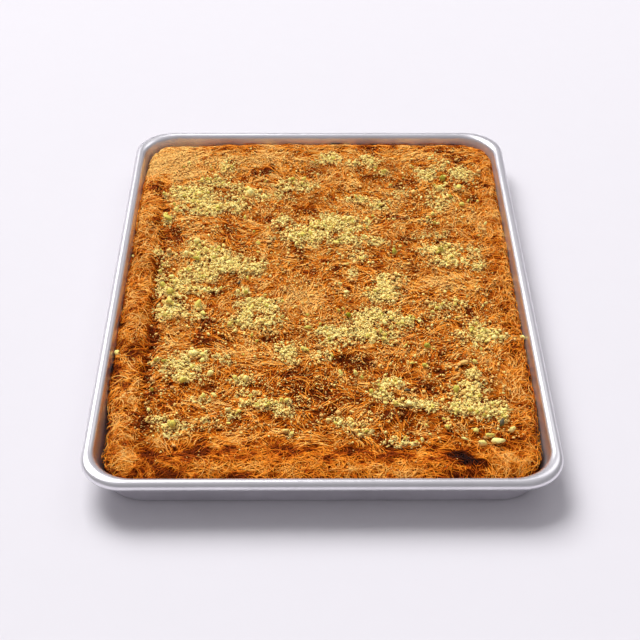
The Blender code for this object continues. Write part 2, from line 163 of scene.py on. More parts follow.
# Where the crust is darker (positive) or paler (negative): x, y, half sizes in mm, amount
BAKED_SPOTS = in_metres(
    (-142, 143, 10, 11, 0.34), (-85, 213, 22, 9, 0.22), (-62, 207, 6, 7, 0.4), (-30, 212, 8, 6, 0.3),
    (-47, 172, 7, 6, 0.5), (-55, 167, 6, 4, 0.34), (-82, 128, 6, 5, 0.36), (-122, 74, 6, 10, 0.3),
    (-116, 64, 3, 6, 0.34), (-76, 80, 9, 9, 0.22), (-45, 98, 9, 6, 0.22), (-15, 109, 9, 6, 0.26),
    (-138, 90, 4, 12, 0.26), (-134, 128, 4, 9, 0.34), (-62, 55, 10, 8, 0.18), (40, 212, 10, 6, 0.28),
    (68, 210, 3, 3, 0.45), (56, 205, 8, 5, 0.18), (108, 205, 8, 6, 0.26), (122, 190, 8, 10, 0.28),
    (127, 184, 3, 6, 0.26), (143, 186, 8, 8, 0.18), (92, 180, 3, 3, 0.4), (44, 161, 7, 4, 0.36),
    (68, 147, 7, 4, 0.28), (147, 146, 3, 5, 0.5), (132, 124, 6, 4, 0.55), (128, 148, 4, 3, 0.4),
    (60, 98, 7, 6, 0.34), (118, 135, 5, 6, 0.26), (13, 64, 5, 4, 0.6), (67, 64, 3, 3, 0.45),
    (148, 62, 4, 8, 0.34), (82, 98, 3, 3, 0.36), (14, 27, 4, 4, 0.36), (-142, -82, 9, 13, 0.2),
    (-152, -105, 4, 8, 0.4), (-152, -48, 3, 5, 0.4), (-128, -62, 5, 12, 0.4), (-94, -59, 4, 12, 0.34),
    (-85, -70, 4, 3, 0.5), (-87, -48, 9, 8, 0.24), (-128, -166, 4, 12, 0.42), (-120, -195, 6, 6, 0.44),
    (-90, -192, 13, 5, 0.3), (-65, -187, 4, 4, 0.3), (-20, -190, 14, 5, 0.26), (-105, -214, 12, 3, 0.42),
    (-62, -215, 12, 3, 0.3), (-20, -110, 12, 6, 0.3), (-35, -68, 13, 5, 0.3), (-5, -128, 18, 7, 0.22),
    (92, -196, 5.6, 3.4, 1.15), (105, -205, 7.6, 2.8, 1.05), (98, -200, 5, 2.6, 0.85),
    (130, -177, 11, 5, 0.22), (147, -85, 4, 13, 0.32), (145, -30, 5, 10, 0.22), (88, -12, 4, 4, 0.42),
    (115, -30, 3, 5, 0.34), (20, -92, 16, 7, 0.32), (87, -102, 3, 6, 0.34), (78, -125, 4, 6, 0.28),
    (15, -137, 16, 8, 0.24), (58, -152, 14, 5, 0.26), (47, -195, 6, 4, 0.34), (22, -191, 6, 4, 0.26),
    (98, -214, 11, 3, 0.3), (-133, 183, 24, 28, -0.5), (-112, 165, 14, 12, -0.22), (-90, 194, 22, 9, -0.18),
    (-48, 190, 15, 9, -0.18), (-45, 215, 6, 5, -0.22), (-106, 88, 13, 11, -0.12), (85, 200, 22, 10, -0.18),
    (40, 95, 14, 8, -0.18), (126, 94, 18, 14, -0.18), (20, 115, 18, 6, -0.14), (100, 4, 24, 14, -0.3),
    (-139, -198, 7, 10, -0.24), (-138, -143, 7, 13, -0.18), (-105, -180, 15, 8, -0.16),
    (-60, -178, 22, 7, -0.16), (-50, -84, 22, 12, -0.28), (-108, -58, 12, 16, -0.16),
    (-55, -209, 30, 6, -0.2), (-110, 205, 70, 22, -0.12), (-20, 212, 45, 18, -0.08),
    (146, 205, 18, 28, 0.12), (-151.5, -75, 4, 7, 0.4), (-15, -15, 18, 18, -0.34), (74, -74, 13, 12, -0.12),
    (130, -90, 12, 9, -0.2), (138, -122, 10, 26, -0.14), (130, -201, 16, 11, -0.26),
    (40, -208, 45, 6, -0.16), (104, -184, 14, 4, -0.16), (-10, 190, 16, 8, -0.14),
)

# How far the crust is baked: more toward the viewer and on two bands (y, half, amount); painted shade in the
# groove
BAKED_MIDDLE = 0.30
BAKED_SLOPE = 0.38
GROOVE_SHADE = 0.36
BAKED_BANDS = ((0.212, 0.020, 0.09), (NEAR_BAND_Y, 0.024, 0.14))
BAKED_LIP_HALF = 0.014
SPOT_STRENGTH = 1.4
MOST_BAKED = 0.84
CHAR_SPOT = (0.098, -0.200, 0.014, 0.010)

# Unevenness, as layers of noise: amount, size of a patch, number of the layer, stretch along X
UNEVEN = {
    "drift": ((0.66, 0.009, 11.0), (0.484, 0.0042, 12.0)),
    "powder": ((0.90, 0.0028, 13.0), (0.35, 0.0050, 14.0)),
    "crust": ((0.13, 0.034, 21.0), (0.21, 0.013, 22.0), (0.26, 0.0050, 23.0, 1.6)),
    "lip": ((0.22, 0.0110, 26.0), (0.16, 0.0055, 27.0)),
    "flow": ((5.0, 0.050, 31.0), (2.0, 0.022, 32.0)),
    "heap": ((1.0, 0.0048, 41.0), (0.7, 0.0023, 42.0)),
}

# Dark specks lie where a noise is high: amount, start and width of the rise, then the layer
SPECKS = ((0.16, 0.22, 1 / 3.5, 0.0095, 25.0, 1.5), (0.28, 0.24, 1 / 4.5, 0.0045, 24.0, 1.4))

# Strength of the flow where nothing combs it, in combed zones and round swirls
FREE_FLOW = 0.35
COMBED_FLOW = 1.2
SWIRL_FLOW = 1.8

# How the shreds run: middle x and y, half width and depth in mm, direction in degrees
COMBED = in_metres(
    (0, -203, 130, 13, 0), (143, 0, 13, 170, 90), (0, 210, 110, 10, 0), (75, -85, 22, 25, 80),
    (-55, -88, 28, 12, -5), (-70, -172, 40, 10, 14), (-125, 180, 22, 22, 60), (85, 198, 30, 10, 10),
    (40, 95, 20, 10, -15), (-15, -12, 20, 18, 55), (120, 90, 20, 16, 70), (125, -90, 14, 12, 60),
    (100, 5, 22, 10, 15), (-110, 85, 16, 14, 40),
)

# Where the shreds turn round a middle, in mm: x, y, reach
SWIRLS = in_metres(
    (-105, -62, 17), (118, -212, 30), (-118, -194, 11), (-45, -192, 13), (30, -110, 22), (-60, 95, 20),
    (55, 150, 20), (-139, -196, 10), (0, 170, 18), (75, -170, 20), (-85, -125, 16), (105, 70, 14),
    lengths=3,
)

# The largest pieces of nut: x, y, length in mm, colour from pale 0 to green 1, or 1.6 with skin on.
# The last three lie in the gap beside the slab
BIG_NUTS = in_metres(
    (122.5, -183, 7.2, 0), (21.5, -41, 6.8, 1), (108, 156, 5.6, 0.8), (121.5, 140, 6.2, 0.25),
    (105, 139, 5.8, 0.15), (99.5, 46.5, 7.2, 0.6), (61, 46, 5.6, 0.75), (-60, 133, 6.8, 0),
    (-102, 58, 6.8, 0.1), (-101, 35, 6, 0.55), (-95.5, -26.5, 6.6, 0.3), (-101, -118.5, 7.2, 0.35),
    (-106, -166, 6.8, 0.4), (108, -172.5, 6, 0.2), (117, -177, 5.6, 0.25), (111, -186, 5, 0.1),
    (98, -128.5, 5.8, 0.6), (-81.5, -110, 5.6, 0.05), (14, -110, 4.8, 0.2), (25.5, -110, 5, 0.15),
    (-85, -135, 5.6, 0.2), (-77.5, -134.5, 4.8, 0.1), (-63.5, -116.5, 5, 0.25), (-55, -117, 5.8, 0.05),
    (-10, -57, 5.2, 0.3), (-13, -82, 5, 0.2), (-125, -1, 6, 0.35), (-118.5, -11, 5.6, 0.4),
    (-129, 94, 6.2, 0.45), (-135, 130, 5, 0.3), (57, 168, 5.4, 0.3), (80, -78, 4.6, 0.7),
    (134, -170, 4.8, 0.1), (88, -169, 4.4, 0.3), (-123.5, -127, 4.8, 0.65), (-88, -95.5, 5, 0.1),
    (31, 128, 4.4, 0.2), (122, 113, 4.6, 0.3), (13, 56, 4.6, 0.2), (-70, -52, 4.6, 0.3),
    (127.5, -164, 6.2, 1.6), (-65, 2, 3.8, 1.6), (62, -129, 3.6, 1.6), (-153.2, -83, 4.8, 0.1),
    (-153.4, 44, 3.6, 0.1), (153.2, -64, 4, 0.1),
    lengths=3,
)

# Neighbouring shreds are baked more alike on the near band than elsewhere, and less on the lip
NEAR_EVEN = 0.55
NEAR_EVEN_HALF = 0.040
LIP_UNEVEN = 0.8

# Steps that spread places evenly in no visible order
EVEN_STEPS = (0.7548777, 0.5698403)

Shape = namedtuple("Shape", "points corners starts")


def linear(red, green, blue):
    """A colour of 0 to 255 steps, as the linear values that shaders take."""
    parts = (red / 255, green / 255, blue / 255)
    return tuple(part / 12.92 if part <= 0.04045 else ((part + 0.055) / 1.055) ** 2.4 for part in parts)


def length_setting(name, description, default):
    """A length of the object that a user may change."""
    return FloatProperty(name=name, description=description, default=default, unit="LENGTH", min=0.0)


def colour_setting(name, description, default):
    """A colour that a user may change."""
    return FloatVectorProperty(
        name=name, description=description, default=default, subtype="COLOR", min=0.0, max=1.0
    )


class TraySettings(bpy.types.PropertyGroup):
    """Sizes and finish of the sheet tray."""

    width: length_setting("Width", "Over the rolled rim, side to side", TRAY_HIGH.x - TRAY_LOW.x)
    depth: length_setting("Depth", "Over the rolled rim, front to back", TRAY_HIGH.y - TRAY_LOW.y)
    height: length_setting("Height", "Underside to the top of the rim", TRAY_HIGH.z)
    sheet: length_setting("Sheet", "Thickness of the metal", 0.0010)
    bead: length_setting("Bead", "Radius of the rolled rim", 0.0043)
    rim_corner: length_setting("Corner", "Corner radius at the outside of the rim", 0.0298)
    foot_inset: length_setting("Foot inset", "How far the underside is drawn in from the rim", 0.0140)
    foot_fillet: length_setting("Foot fillet", "Radius between floor and wall, outside", 0.0040)
    metal: colour_setting("Metal", "Aluminium", linear(238, 236, 240))
    # Partly painted reflection: this film colour stands for baked-on grease, and toward the far wall for the
    # pastry's reflection
    grease_and_reflection: colour_setting("Grease", "Baked-on film above the pastry", linear(168, 142, 130))


class PastrySettings(bpy.types.PropertyGroup):
    """Sizes and colours of the shredded pastry."""

    width: length_setting("Width", "Top of the slab, side to side", 0.309)
    depth: length_setting("Depth", "Top of the slab, front to back", 0.437)
    top: length_setting("Top", "Height of the slab's top", 0.0240)
    corner: length_setting("Corner", "Corner radius of the slab", 0.030)
    bed_drop: length_setting("Bed drop", "Depth of the matted bed below the top shreds", 0.0011)
    shred: length_setting("Shred", "Thickness of one shred", 0.00060)
    pale: colour_setting("Pale", "Least baked shreds", linear(255, 203, 115))
    gold: colour_setting("Gold", "Lightly baked shreds", linear(253, 183, 84))
    amber: colour_setting("Amber", "Well baked shreds", linear(244, 150, 38))
    brown: colour_setting("Brown", "Dark baked shreds", linear(198, 92, 6))
    dark: colour_setting("Dark", "Scorched shreds", linear(128, 47, 0))
    burnt: colour_setting("Burnt", "Burnt shreds", linear(80, 28, 0))
    between: colour_setting("Between", "Shade between the shreds of the bed", linear(72, 29, 0))
    char: colour_setting("Char", "Charred shreds", linear(22, 17, 20))


class NutSettings(bpy.types.PropertyGroup):
    """Sizes, amounts and colours of the ground pistachio."""

    grain: length_setting("Grain", "Mean size of the powder's grains", 0.00105)
    crumb: length_setting("Crumb", "Mean size of the crumbs", 0.00165)
    grains: IntProperty(name="Grains", description="Grains of powder", default=16000, min=0)
    crumbs: IntProperty(name="Crumbs", description="Crumbs of nut", default=15500, min=0)
    pieces: IntProperty(name="Pieces", description="Small pieces of nut in the drifts", default=320, min=1)
    # Painted shade: the nut's undersides and the cracks of the powder get this dark brown
    wet: colour_setting("Wet", "Undersides, dark with syrup", linear(128, 70, 18))
    soaked: colour_setting("Soaked", "Crumbs that drew in syrup", linear(244, 186, 106))
    yellow: colour_setting("Yellow", "Most of the nut", linear(254, 227, 130))
    cream: colour_setting("Cream", "Palest nut", linear(255, 240, 160))
    lime: colour_setting("Lime", "Larger pieces", linear(226, 208, 98))
    green: colour_setting("Green", "Greenest nut", linear(146, 142, 26))
    skin: colour_setting("Skin", "Papery skin left on a few pieces", linear(92, 84, 66))


class StageSettings(bpy.types.PropertyGroup):
    """Camera, floor and light."""

    camera_place: FloatVectorProperty(
        name="Camera place", description="Where the camera stands",
        default=(-0.00752, -0.91092, 0.70360), subtype="TRANSLATION", unit="LENGTH",
    )
    camera_turn: FloatVectorProperty(
        name="Camera turn", description="Rotation of the camera about X, Y and Z",
        default=tuple(math.radians(turn) for turn in (51.900, -0.173, -0.314)), subtype="EULER",
    )
    lens: FloatProperty(name="Lens", description="Focal length in millimetres", default=80.21, min=1.0)
    floor: colour_setting("Floor", "Seamless paper", linear(214, 211, 216))
    key_power: FloatProperty(name="Key power", description="Watts of the large light", default=2240.0)
    back_power: FloatProperty(name="Back power", description="Watts of the light at the right", default=100.0)
    sheen_power: FloatProperty(name="Sheen power", description="Watts of the rim's highlight", default=1120.0)
    room: FloatProperty(name="Room", description="Strength of the light from all round", default=0.36)
    ceiling: FloatProperty(name="Ceiling", description="Strength of the light from above", default=0.57)


def settings(name):
    """One of the groups of settings."""
    return getattr(bpy.context.scene, name)


def start_modelling():
    """Leave edit mode and let go of everything."""
    if bpy.context.object and bpy.context.object.mode != "OBJECT":
        bpy.ops.object.mode_set(mode="OBJECT")
    for item in bpy.context.view_layer.objects:
        item.select_set(False)


def pick(piece, kind, test):
    """In edit mode, select just the points, edges or faces that pass the test."""
    mesh = bmesh.from_edit_mesh(piece.data)
    bpy.ops.mesh.select_all(action="DESELECT")
    for part in getattr(mesh, kind):
        if test(part):
            part.select_set(True)
    bmesh.update_edit_mesh(piece.data)


def edit(kind):
    """Enter edit mode and choose by VERT, EDGE or FACE."""
    bpy.ops.object.mode_set(mode="EDIT")
    bpy.ops.mesh.select_mode(type=kind)


def select_all():
    """In edit mode, select everything."""
    bpy.ops.mesh.select_all(action="SELECT")


def grow(x, y, z, middle=(0.0, 0.0, 0.0)):
    """In edit mode, stretch what is selected along each axis from a middle."""
    bpy.ops.transform.resize(value=(x, y, z), center_override=middle)


def face_outward():
    """In edit mode, turn every face outward, and leave edit mode."""
    select_all()
    bpy.ops.mesh.normals_make_consistent(inside=False)
    bpy.ops.object.mode_set(mode="OBJECT")


def finish_piece(piece, name, material):
    """Name a finished piece, give it its material and let it ride on the tray's body."""
    start_modelling()
    piece.name = name
    piece.data.name = name
    piece.data.materials.clear()
    piece.data.materials.append(material)
    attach(piece, "root")


# Shaders


class Nodes:
    """A material's or a group's nodes, added and linked with few words."""

    def __init__(self, tree):
        self.tree = tree

    def feed(self, node, sockets):
        """Link sources to a node's sockets, by the sockets' names or places."""
        for socket, source in dict(sockets).items():
            self.tree.links.new(source, node.inputs[socket])

    def add(self, kind, values=(), links=(), **options):
        """Add a node, set its options and sockets, and link what feeds it."""
        node = self.tree.nodes.new(kind)
        for option, value in options.items():
            setattr(node, option, value)
        for socket, value in dict(values).items():
            node.inputs[socket].default_value = value
        self.feed(node, links)
        return node

    def kept(self, name):
        """A number that the piece keeps for each of its points."""
        return self.add("ShaderNodeAttribute", attribute_name=name).outputs["Fac"]

    def group(self, tree, values=(), links=()):
        """Place a node group with its own values."""
        return self.add("ShaderNodeGroup", values, links, node_tree=tree).outputs

    def noise(self, coordinates, scale, detail, stretch=(1.0, 1.0, 1.0)):
        """Noise over the coordinates, about 0.5 on average."""
        mapped = self.add("ShaderNodeMapping", {"Scale": stretch}, {"Vector": coordinates})
        values = {"Scale": scale, "Detail": detail, "Roughness": 0.6}
        return self.add("ShaderNodeTexNoise", values, {"Vector": mapped.outputs[0]}).outputs["Fac"]

    def math(self, operation, first, second, third=0.0, clamp=False):
        """A sum of two or three values, each a number or a socket."""
        node = self.add("ShaderNodeMath", operation=operation, use_clamp=clamp)
        for place, value in enumerate((first, second, third)):
            if isinstance(value, bpy.types.NodeSocket):
                self.tree.links.new(value, node.inputs[place])
            else:
                node.inputs[place].default_value = value
        return node.outputs[0]

    def ramp(self, factor, stops):
        """Colours along a value."""
        node = self.add("ShaderNodeValToRGB", links={"Fac": factor})
        points = node.color_ramp.elements
        while len(points) < len(stops):
            points.new(1.0)
        for point, (place, colour) in zip(points, stops):
            point.position = place
            point.color = (*colour, 1.0)
        return node.outputs["Color"]

    def range(self, value, low, high, new_low=0.0, new_high=1.0):
        """Spread part of a value's range over a new one."""
        values = {"From Min": low, "From Max": high, "To Min": new_low, "To Max": new_high}
        return self.add("ShaderNodeMapRange", values, {"Value": value}).outputs["Result"]

    def mix(self, factor, first, second):
        """Mix two colours, each a socket or fixed values."""
        node = self.add("ShaderNodeMix", data_type="RGBA")
        for place, value in ((0, factor), (6, first), (7, second)):
            if isinstance(value, bpy.types.NodeSocket):
                self.tree.links.new(value, node.inputs[place])
            elif place:
                node.inputs[place].default_value = (*value, 1.0)
            else:
                node.inputs[place].default_value = value
        return node.outputs[2]


def new_group(name, inputs, outputs):
    """A shader node group with named sockets: its nodes, what is given to it, and its end node."""
    tree = bpy.data.node_groups.new(name, "ShaderNodeTree")
    for way, sockets in (("INPUT", inputs), ("OUTPUT", outputs)):
        for socket, kind in sockets.items():
            tree.interface.new_socket(socket, in_out=way, socket_type="NodeSocket" + kind)
    nodes = Nodes(tree)
    return nodes, nodes.add("NodeGroupInput").outputs, nodes.add("NodeGroupOutput")


@functools.lru_cache(maxsize=1)
def baked_colour():
    """Group: the colour of pastry for how far it is baked."""
    pastry = settings("kunafa_pastry")
    nodes, given, end = new_group("baked_colour", {"Baked": "Float"}, {"Color": "Color"})
    stops = [
        (0.00, pastry.pale), (0.20, pastry.gold), (0.42, pastry.amber), (0.62, pastry.brown),
        (0.78, pastry.dark), (0.90, pastry.burnt), (1.00, pastry.char),
    ]
    nodes.feed(end, {"Color": nodes.ramp(given["Baked"], stops)})
    return nodes.tree


@functools.lru_cache(maxsize=1)
def fine_mottle():
    """Group: small uneven patches, as a value about 0 and as a height."""
    inputs = {"Vector": "Vector", "Scale": "Float"}
    nodes, given, end = new_group("fine_mottle", inputs, {"Value": "Float", "Height": "Float"})
    finer, share = 3.7, 0.6
    scales = (given["Scale"], nodes.math("MULTIPLY", given["Scale"], finer))
    broad, fine = (
        nodes.add(
            "ShaderNodeTexNoise", {"Detail": detail, "Roughness": roughness},
            {"Vector": given["Vector"], "Scale": scale},
        ).outputs["Fac"]
        for scale, detail, roughness in zip(scales, (3.0, 2.0), (0.6, 0.7))
    )
    both = nodes.math("MULTIPLY_ADD", fine, share, broad)
    average = 0.5 * (1.0 + share)
    nodes.feed(end, {"Value": nodes.math("SUBTRACT", both, average), "Height": both})
    return nodes.tree


@functools.lru_cache(maxsize=1)
def hair_mat():
    """Group: fine hairs that cross every way, as a value from 0 between them to 1 on top."""
    nodes, given, end = new_group("hair_mat", {"Vector": "Vector"}, {"Value": "Float"})
    swirl = nodes.add("ShaderNodeTexNoise", {"Scale": 55.0, "Detail": 1.0}, {"Vector": given["Vector"]})
    centred = nodes.add(
        "ShaderNodeVectorMath", {1: (-0.5, -0.5, -0.5)}, {0: swirl.outputs["Color"]}, operation="ADD"
    )
    bent = nodes.add(
        "ShaderNodeVectorMath", {1: (0.016, 0.016, 0.0)},
        {0: centred.outputs[0], 2: given["Vector"]}, operation="MULTIPLY_ADD",
    ).outputs[0]
    top = None
    for degrees in (12, 63, 104, 151):
        turned = nodes.add(
            "ShaderNodeMapping", {"Rotation": (0.0, 0.0, math.radians(degrees)), "Scale": (0.10, 1.0, 0.5)},
            {"Vector": bent},
        ).outputs[0]
        hairs = nodes.add(
            "ShaderNodeTexNoise", {"Scale": 1150.0, "Detail": 1.0, "Roughness": 0.5}, {"Vector": turned}
        ).outputs["Fac"]
        top = hairs if top is None else nodes.math("MAXIMUM", top, hairs)
    nodes.feed(end, {"Value": nodes.range(top, 0.50, 0.74)})
    return nodes.tree


def new_material(name, values):
    """A material with one Principled BSDF: its nodes, object coordinates and shader."""
    material = bpy.data.materials.new(name)
    material.use_nodes = True
    nodes = Nodes(material.node_tree)
    shader = material.node_tree.nodes["Principled BSDF"]
    for socket, value in values.items():
        shader.inputs[socket].default_value = value
    return material, nodes, nodes.add("ShaderNodeTexCoord").outputs["Object"], shader


def link_bump(nodes, shader, height, strength, distance):
    """Fine relief on a shader."""
    values = {"Strength": strength, "Distance": distance}
    relief = nodes.add("ShaderNodeBump", values, {"Height": height})
    nodes.feed(shader, {"Normal": relief.outputs["Normal"]})


@functools.lru_cache(maxsize=1)
def shred_material():
    """Syrupy shreds, coloured by how far each is baked."""
    material, nodes, place, shader = new_material("baked_shreds", {"Specular IOR Level": 0.10})
    mottle = 0.26
    patches = nodes.group(fine_mottle(), {"Scale": 420.0}, {"Vector": place})
    uneven = nodes.math("MULTIPLY_ADD", patches["Value"], mottle, nodes.kept("baked"), clamp=True)
    colour = nodes.group(baked_colour(), links={"Baked": uneven})["Color"]
    nodes.feed(shader, {"Base Color": colour, "Roughness": nodes.range(uneven, 0.2, 0.9, 0.42, 0.65)})
    return material


@functools.lru_cache(maxsize=1)
def bed_material():
    """The matted bed between the shreds, with powdered nut worked into it, and painted shade between its
    hairs and in the powder's cracks.
    """
    pastry, nuts = settings("kunafa_pastry"), settings("kunafa_nuts")
    values = {"Roughness": 0.6, "Specular IOR Level": 0.04}
    material, nodes, place, shader = new_material("matted_bed", values)
    mottle, hair_paler, gap_shade, darkest, shade = 0.15, 0.40, 0.22, 0.88, 0.30
    nut_mottle, hair_relief = 0.8, 0.5
    baked = nodes.kept("baked")
    patches = nodes.group(fine_mottle(), {"Scale": 520.0}, {"Vector": place})
    hairs = nodes.group(hair_mat(), links={"Vector": place})["Value"]
    uneven = nodes.math("MULTIPLY_ADD", patches["Value"], mottle, baked)
    # Painted light and shade: hairs on top are paler, as lit, and the gaps between them darker, as shade
    uneven = nodes.math("MULTIPLY_ADD", hairs, -hair_paler, nodes.math("ADD", uneven, gap_shade))
    uneven = nodes.math("MINIMUM", uneven, nodes.math("MAXIMUM", baked, darkest), clamp=True)
    colour = nodes.group(baked_colour(), links={"Baked": uneven})["Color"]
    colour = nodes.mix(shade, colour, pastry.between)
    powder = nodes.mix(nodes.range(patches["Value"], -0.2, 0.2), nuts.yellow, nuts.cream)
    # Painted shade: the powder is darkened in the cracks between its heads
    powder = nodes.mix(nodes.range(nodes.kept("sunk"), 0.24, 0.76), powder, nuts.wet)
    powdered = nodes.math("MULTIPLY_ADD", patches["Value"], nut_mottle, nodes.kept("nutty"), clamp=True)
    blended = nodes.mix(nodes.range(powdered, 0.30, 0.50), colour, powder)
    nodes.feed(shader, {"Base Color": blended})
    relief = nodes.math("MULTIPLY_ADD", patches["Height"], hair_relief, hairs)
    link_bump(nodes, shader, relief, strength=0.8, distance=0.0005)
    return material


@functools.lru_cache(maxsize=1)
def nut_material():
    """Broken pistachio: painted shade on the undersides, tan where soaked, yellow to cream, some green, a few
    with skin.
    """
    nuts = settings("kunafa_nuts")
    values = {"Roughness": 0.6, "Specular IOR Level": 0.12}
    material, nodes, place, shader = new_material("broken_pistachio", values)
    mottle = 0.16
    patches = nodes.group(fine_mottle(), {"Scale": 700.0}, {"Vector": place})
    uneven = nodes.math("MULTIPLY_ADD", patches["Value"], mottle, nodes.kept("tint"), clamp=True)
    # The darkest stop is painted shade, for the undersides
    stops = [
        (0.00, nuts.wet), (0.20, nuts.soaked), (0.36, nuts.yellow), (0.50, nuts.cream), (0.62, nuts.lime),
        (0.82, nuts.green), (0.90, nuts.green), (1.00, nuts.skin),
    ]
    nodes.feed(shader, {"Base Color": nodes.ramp(uneven, stops)})
    link_bump(nodes, shader, patches["Height"], strength=0.35, distance=0.0004)
    return material


@functools.lru_cache(maxsize=1)
def tray_material():
    """Rolled aluminium sheet: fine drawn lines, faint scuffs, and baked-on film inside the wall, which toward
    the far wall also paints the pastry's brown reflection.
    """
    tray = settings("kunafa_tray")
    material, nodes, place, shader = new_material("sheet_aluminium", {"Roughness": 0.26, "Metallic": 1.0})
    scuffed, even_film, spotted_film, film_matt = 0.92, 0.40, 0.45, 0.50
    smooth, wear, wall_rough = 0.23, 0.10, 0.20
    film = nodes.kept("film")
    lines = nodes.noise(place, 60.0, 4.0, (0.35, 0.35, 30.0))
    patches = nodes.noise(place, 34.0, 4.0)
    scuffs = nodes.range(patches, 0.35, 0.7)
    grey = nodes.mix(scuffs, tray.metal, [part * scuffed for part in tray.metal])
    spotted = nodes.math("MULTIPLY", nodes.math("MULTIPLY", film, scuffs), spotted_film)
    # Baked-on film and, toward the far wall, painted reflection of the pastry
    soiled_and_reflected = nodes.math("MULTIPLY_ADD", film, even_film, spotted)
    rough = nodes.math("MULTIPLY_ADD", nodes.math("ADD", lines, patches), wear, smooth)
    nodes.feed(shader, {
        "Base Color": nodes.mix(soiled_and_reflected, grey, tray.grease_and_reflection),
        "Metallic": nodes.math("MULTIPLY_ADD", film, -film_matt, 1.0),
        "Roughness": nodes.math("MULTIPLY_ADD", nodes.kept("wall"), wall_rough, rough),
    })
    link_bump(nodes, shader, lines, strength=0.02, distance=0.0002)
    return material


@functools.lru_cache(maxsize=1)
def floor_material():
    """Matt seamless paper."""
    stage = settings("kunafa_stage")
    material, nodes, place, shader = new_material("seamless_paper", {"Roughness": 0.9})
    shaded = 0.985
    paper = nodes.mix(nodes.noise(place, 40.0, 2.0), stage.floor, [part * shaded for part in stage.floor])
    nodes.feed(shader, {"Base Color": paper})
    return material


# Numbers of meshes


def read_vectors(mesh, parts, value):
    """Places or directions of a mesh's points, as rows."""
    source = getattr(mesh, parts)
    rows = np.empty(len(source) * 3)
    source.foreach_get(value, rows)
    return rows.reshape(-1, 3)


def move_points(mesh, places):
    """Move a mesh's points to the places in rows."""
    mesh.vertices.foreach_set("co", places.ravel())
    mesh.update()


def add_values(mesh, name, values):
    """Keep one number for each point of a mesh, for its material to read."""
    layer = mesh.attributes.new(name, "FLOAT", "POINT")
    layer.data.foreach_set("value", np.ascontiguousarray(values, dtype=np.float32))


# Maps of the slab's top


def rise(value, start, width, least=0.0):
    """A straight rise from 0, or the least, up to 1."""
    return np.clip((value - start) / width, least, 1.0)


def bump(distance, half):
    """A smooth rise of height 1 in the middle that ends at half."""
    share = np.minimum(np.abs(distance) / half, 1.0)
    return (1.0 - share * share) ** 2


def spot_distance(spot, x, y):
    """Distance from a spot's middle, counted in its half sizes."""
    mid_x, mid_y, half_x, half_y = spot
    return np.hypot((x - mid_x) / half_x, (y - mid_y) / half_y)


def noise_at(x, y, layer):
    """Noise at many places, which are given in the noise's own cells."""
    places = zip(np.ravel(x).tolist(), np.ravel(y).tolist())
    values = [noise.noise(Vector((across, along, layer))) for across, along in places]
    return np.array(values).reshape(np.shape(x))


def noise_map(size, layer, stretch=1.0):
    """Noise over the whole map, with patches of about this size."""
    x, y = MAP_PLACES
    return noise_at(x / (size * stretch), y / size, layer)


def uneven_map(name):
    """One of the sums of noise over the whole map."""
    return sum(amount * noise_map(*layer) for amount, *layer in UNEVEN[name])


def sample(values, x, y):
    """A map's value at any places, read between its cells."""
    column = np.clip((x - MAP_X[0]) / MAP_CELL, 0, len(MAP_X) - 1.001)
    row = np.clip((y - MAP_Y[0]) / MAP_CELL, 0, len(MAP_Y) - 1.001)
    left, low = column.astype(int), row.astype(int)
    right_share, up_share = column - left, row - low
    bottom = values[low, left] * (1 - right_share) + values[low, left + 1] * right_share
    above = values[low + 1, left] * (1 - right_share) + values[low + 1, left + 1] * right_share
    return bottom * (1 - up_share) + above * up_share


def edge_distance(x, y):
    """How far places lie inside the slab's rounded outline."""
    pastry = settings("kunafa_pastry")
    over_x = np.abs(x) - (pastry.width / 2 - pastry.corner)
    over_y = np.abs(y) - (pastry.depth / 2 - pastry.corner)
    rounded = np.hypot(np.maximum(over_x, 0.0), np.maximum(over_y, 0.0))
    in_corner = (over_x > 0.0) & (over_y > 0.0)
    return pastry.corner - np.where(in_corner, rounded, np.maximum(over_x, over_y))


def draw_in(places):
    """Draw points in from the wall where the slab shrank, most at its top and not low down."""
    x, y = places[..., 0], places[..., 1]
    share = rise(places[..., 2], SHRUNK_BELOW, SIDE_FOLD - SHRUNK_BELOW)
    drawn = places.copy()
    for mid_x, mid_y, reach_x, reach_y, shift_x, shift_y in SHRUNK:
        amount = share * bump(x - mid_x, reach_x) * bump(y - mid_y, reach_y)
        drawn[..., 0] += shift_x * amount
        drawn[..., 1] += shift_y * amount
    return drawn


def groove_map():
    """How deep the groove beside the lip is, from 0 to 1."""
    x, y = MAP_PLACES
    near, far = GROOVE_ENDS
    strength = np.sqrt(bump(y - (near + far) / 2, (far - near) / 2))
    return strength * bump(x - GROOVE_X - GROOVE_LEAN * y, GROOVE_HALF)


def height_map():
    """Height of the slab's top."""
    pastry = settings("kunafa_pastry")
    x, y = MAP_PLACES
    turn = SWIRL_TURN * noise_at(x / SWIRL_SIZE, y / SWIRL_SIZE, 7.0 / SWIRL_SIZE)
    along = x * np.cos(turn) + y * np.sin(turn)
    across = y * np.cos(turn) - x * np.sin(turn)
    height = pastry.top + SWELL_RISE * noise_at(x / SWELL_SIZE, y / SWELL_SIZE, 0.3 / SWELL_SIZE)
    height += RIDGE_RISE * noise_at(
        along * RIDGE_STRETCH / RIDGE_SIZE, across / RIDGE_SIZE, 2.0 / RIDGE_SIZE
    )
    height += LIP_RISE * bump(x - LIP_MIDDLE, LIP_HALF) - GROOVE_DEPTH * groove_map()
    height += NEAR_BAND_RISE * bump(y - NEAR_BAND_Y, NEAR_BAND_HALF)
    lack = np.clip(1.0 - np.maximum(edge_distance(x, y), 0.0) / EDGE_ROUND, 0.0, 1.0)
    return height - EDGE_DROP * lack * lack


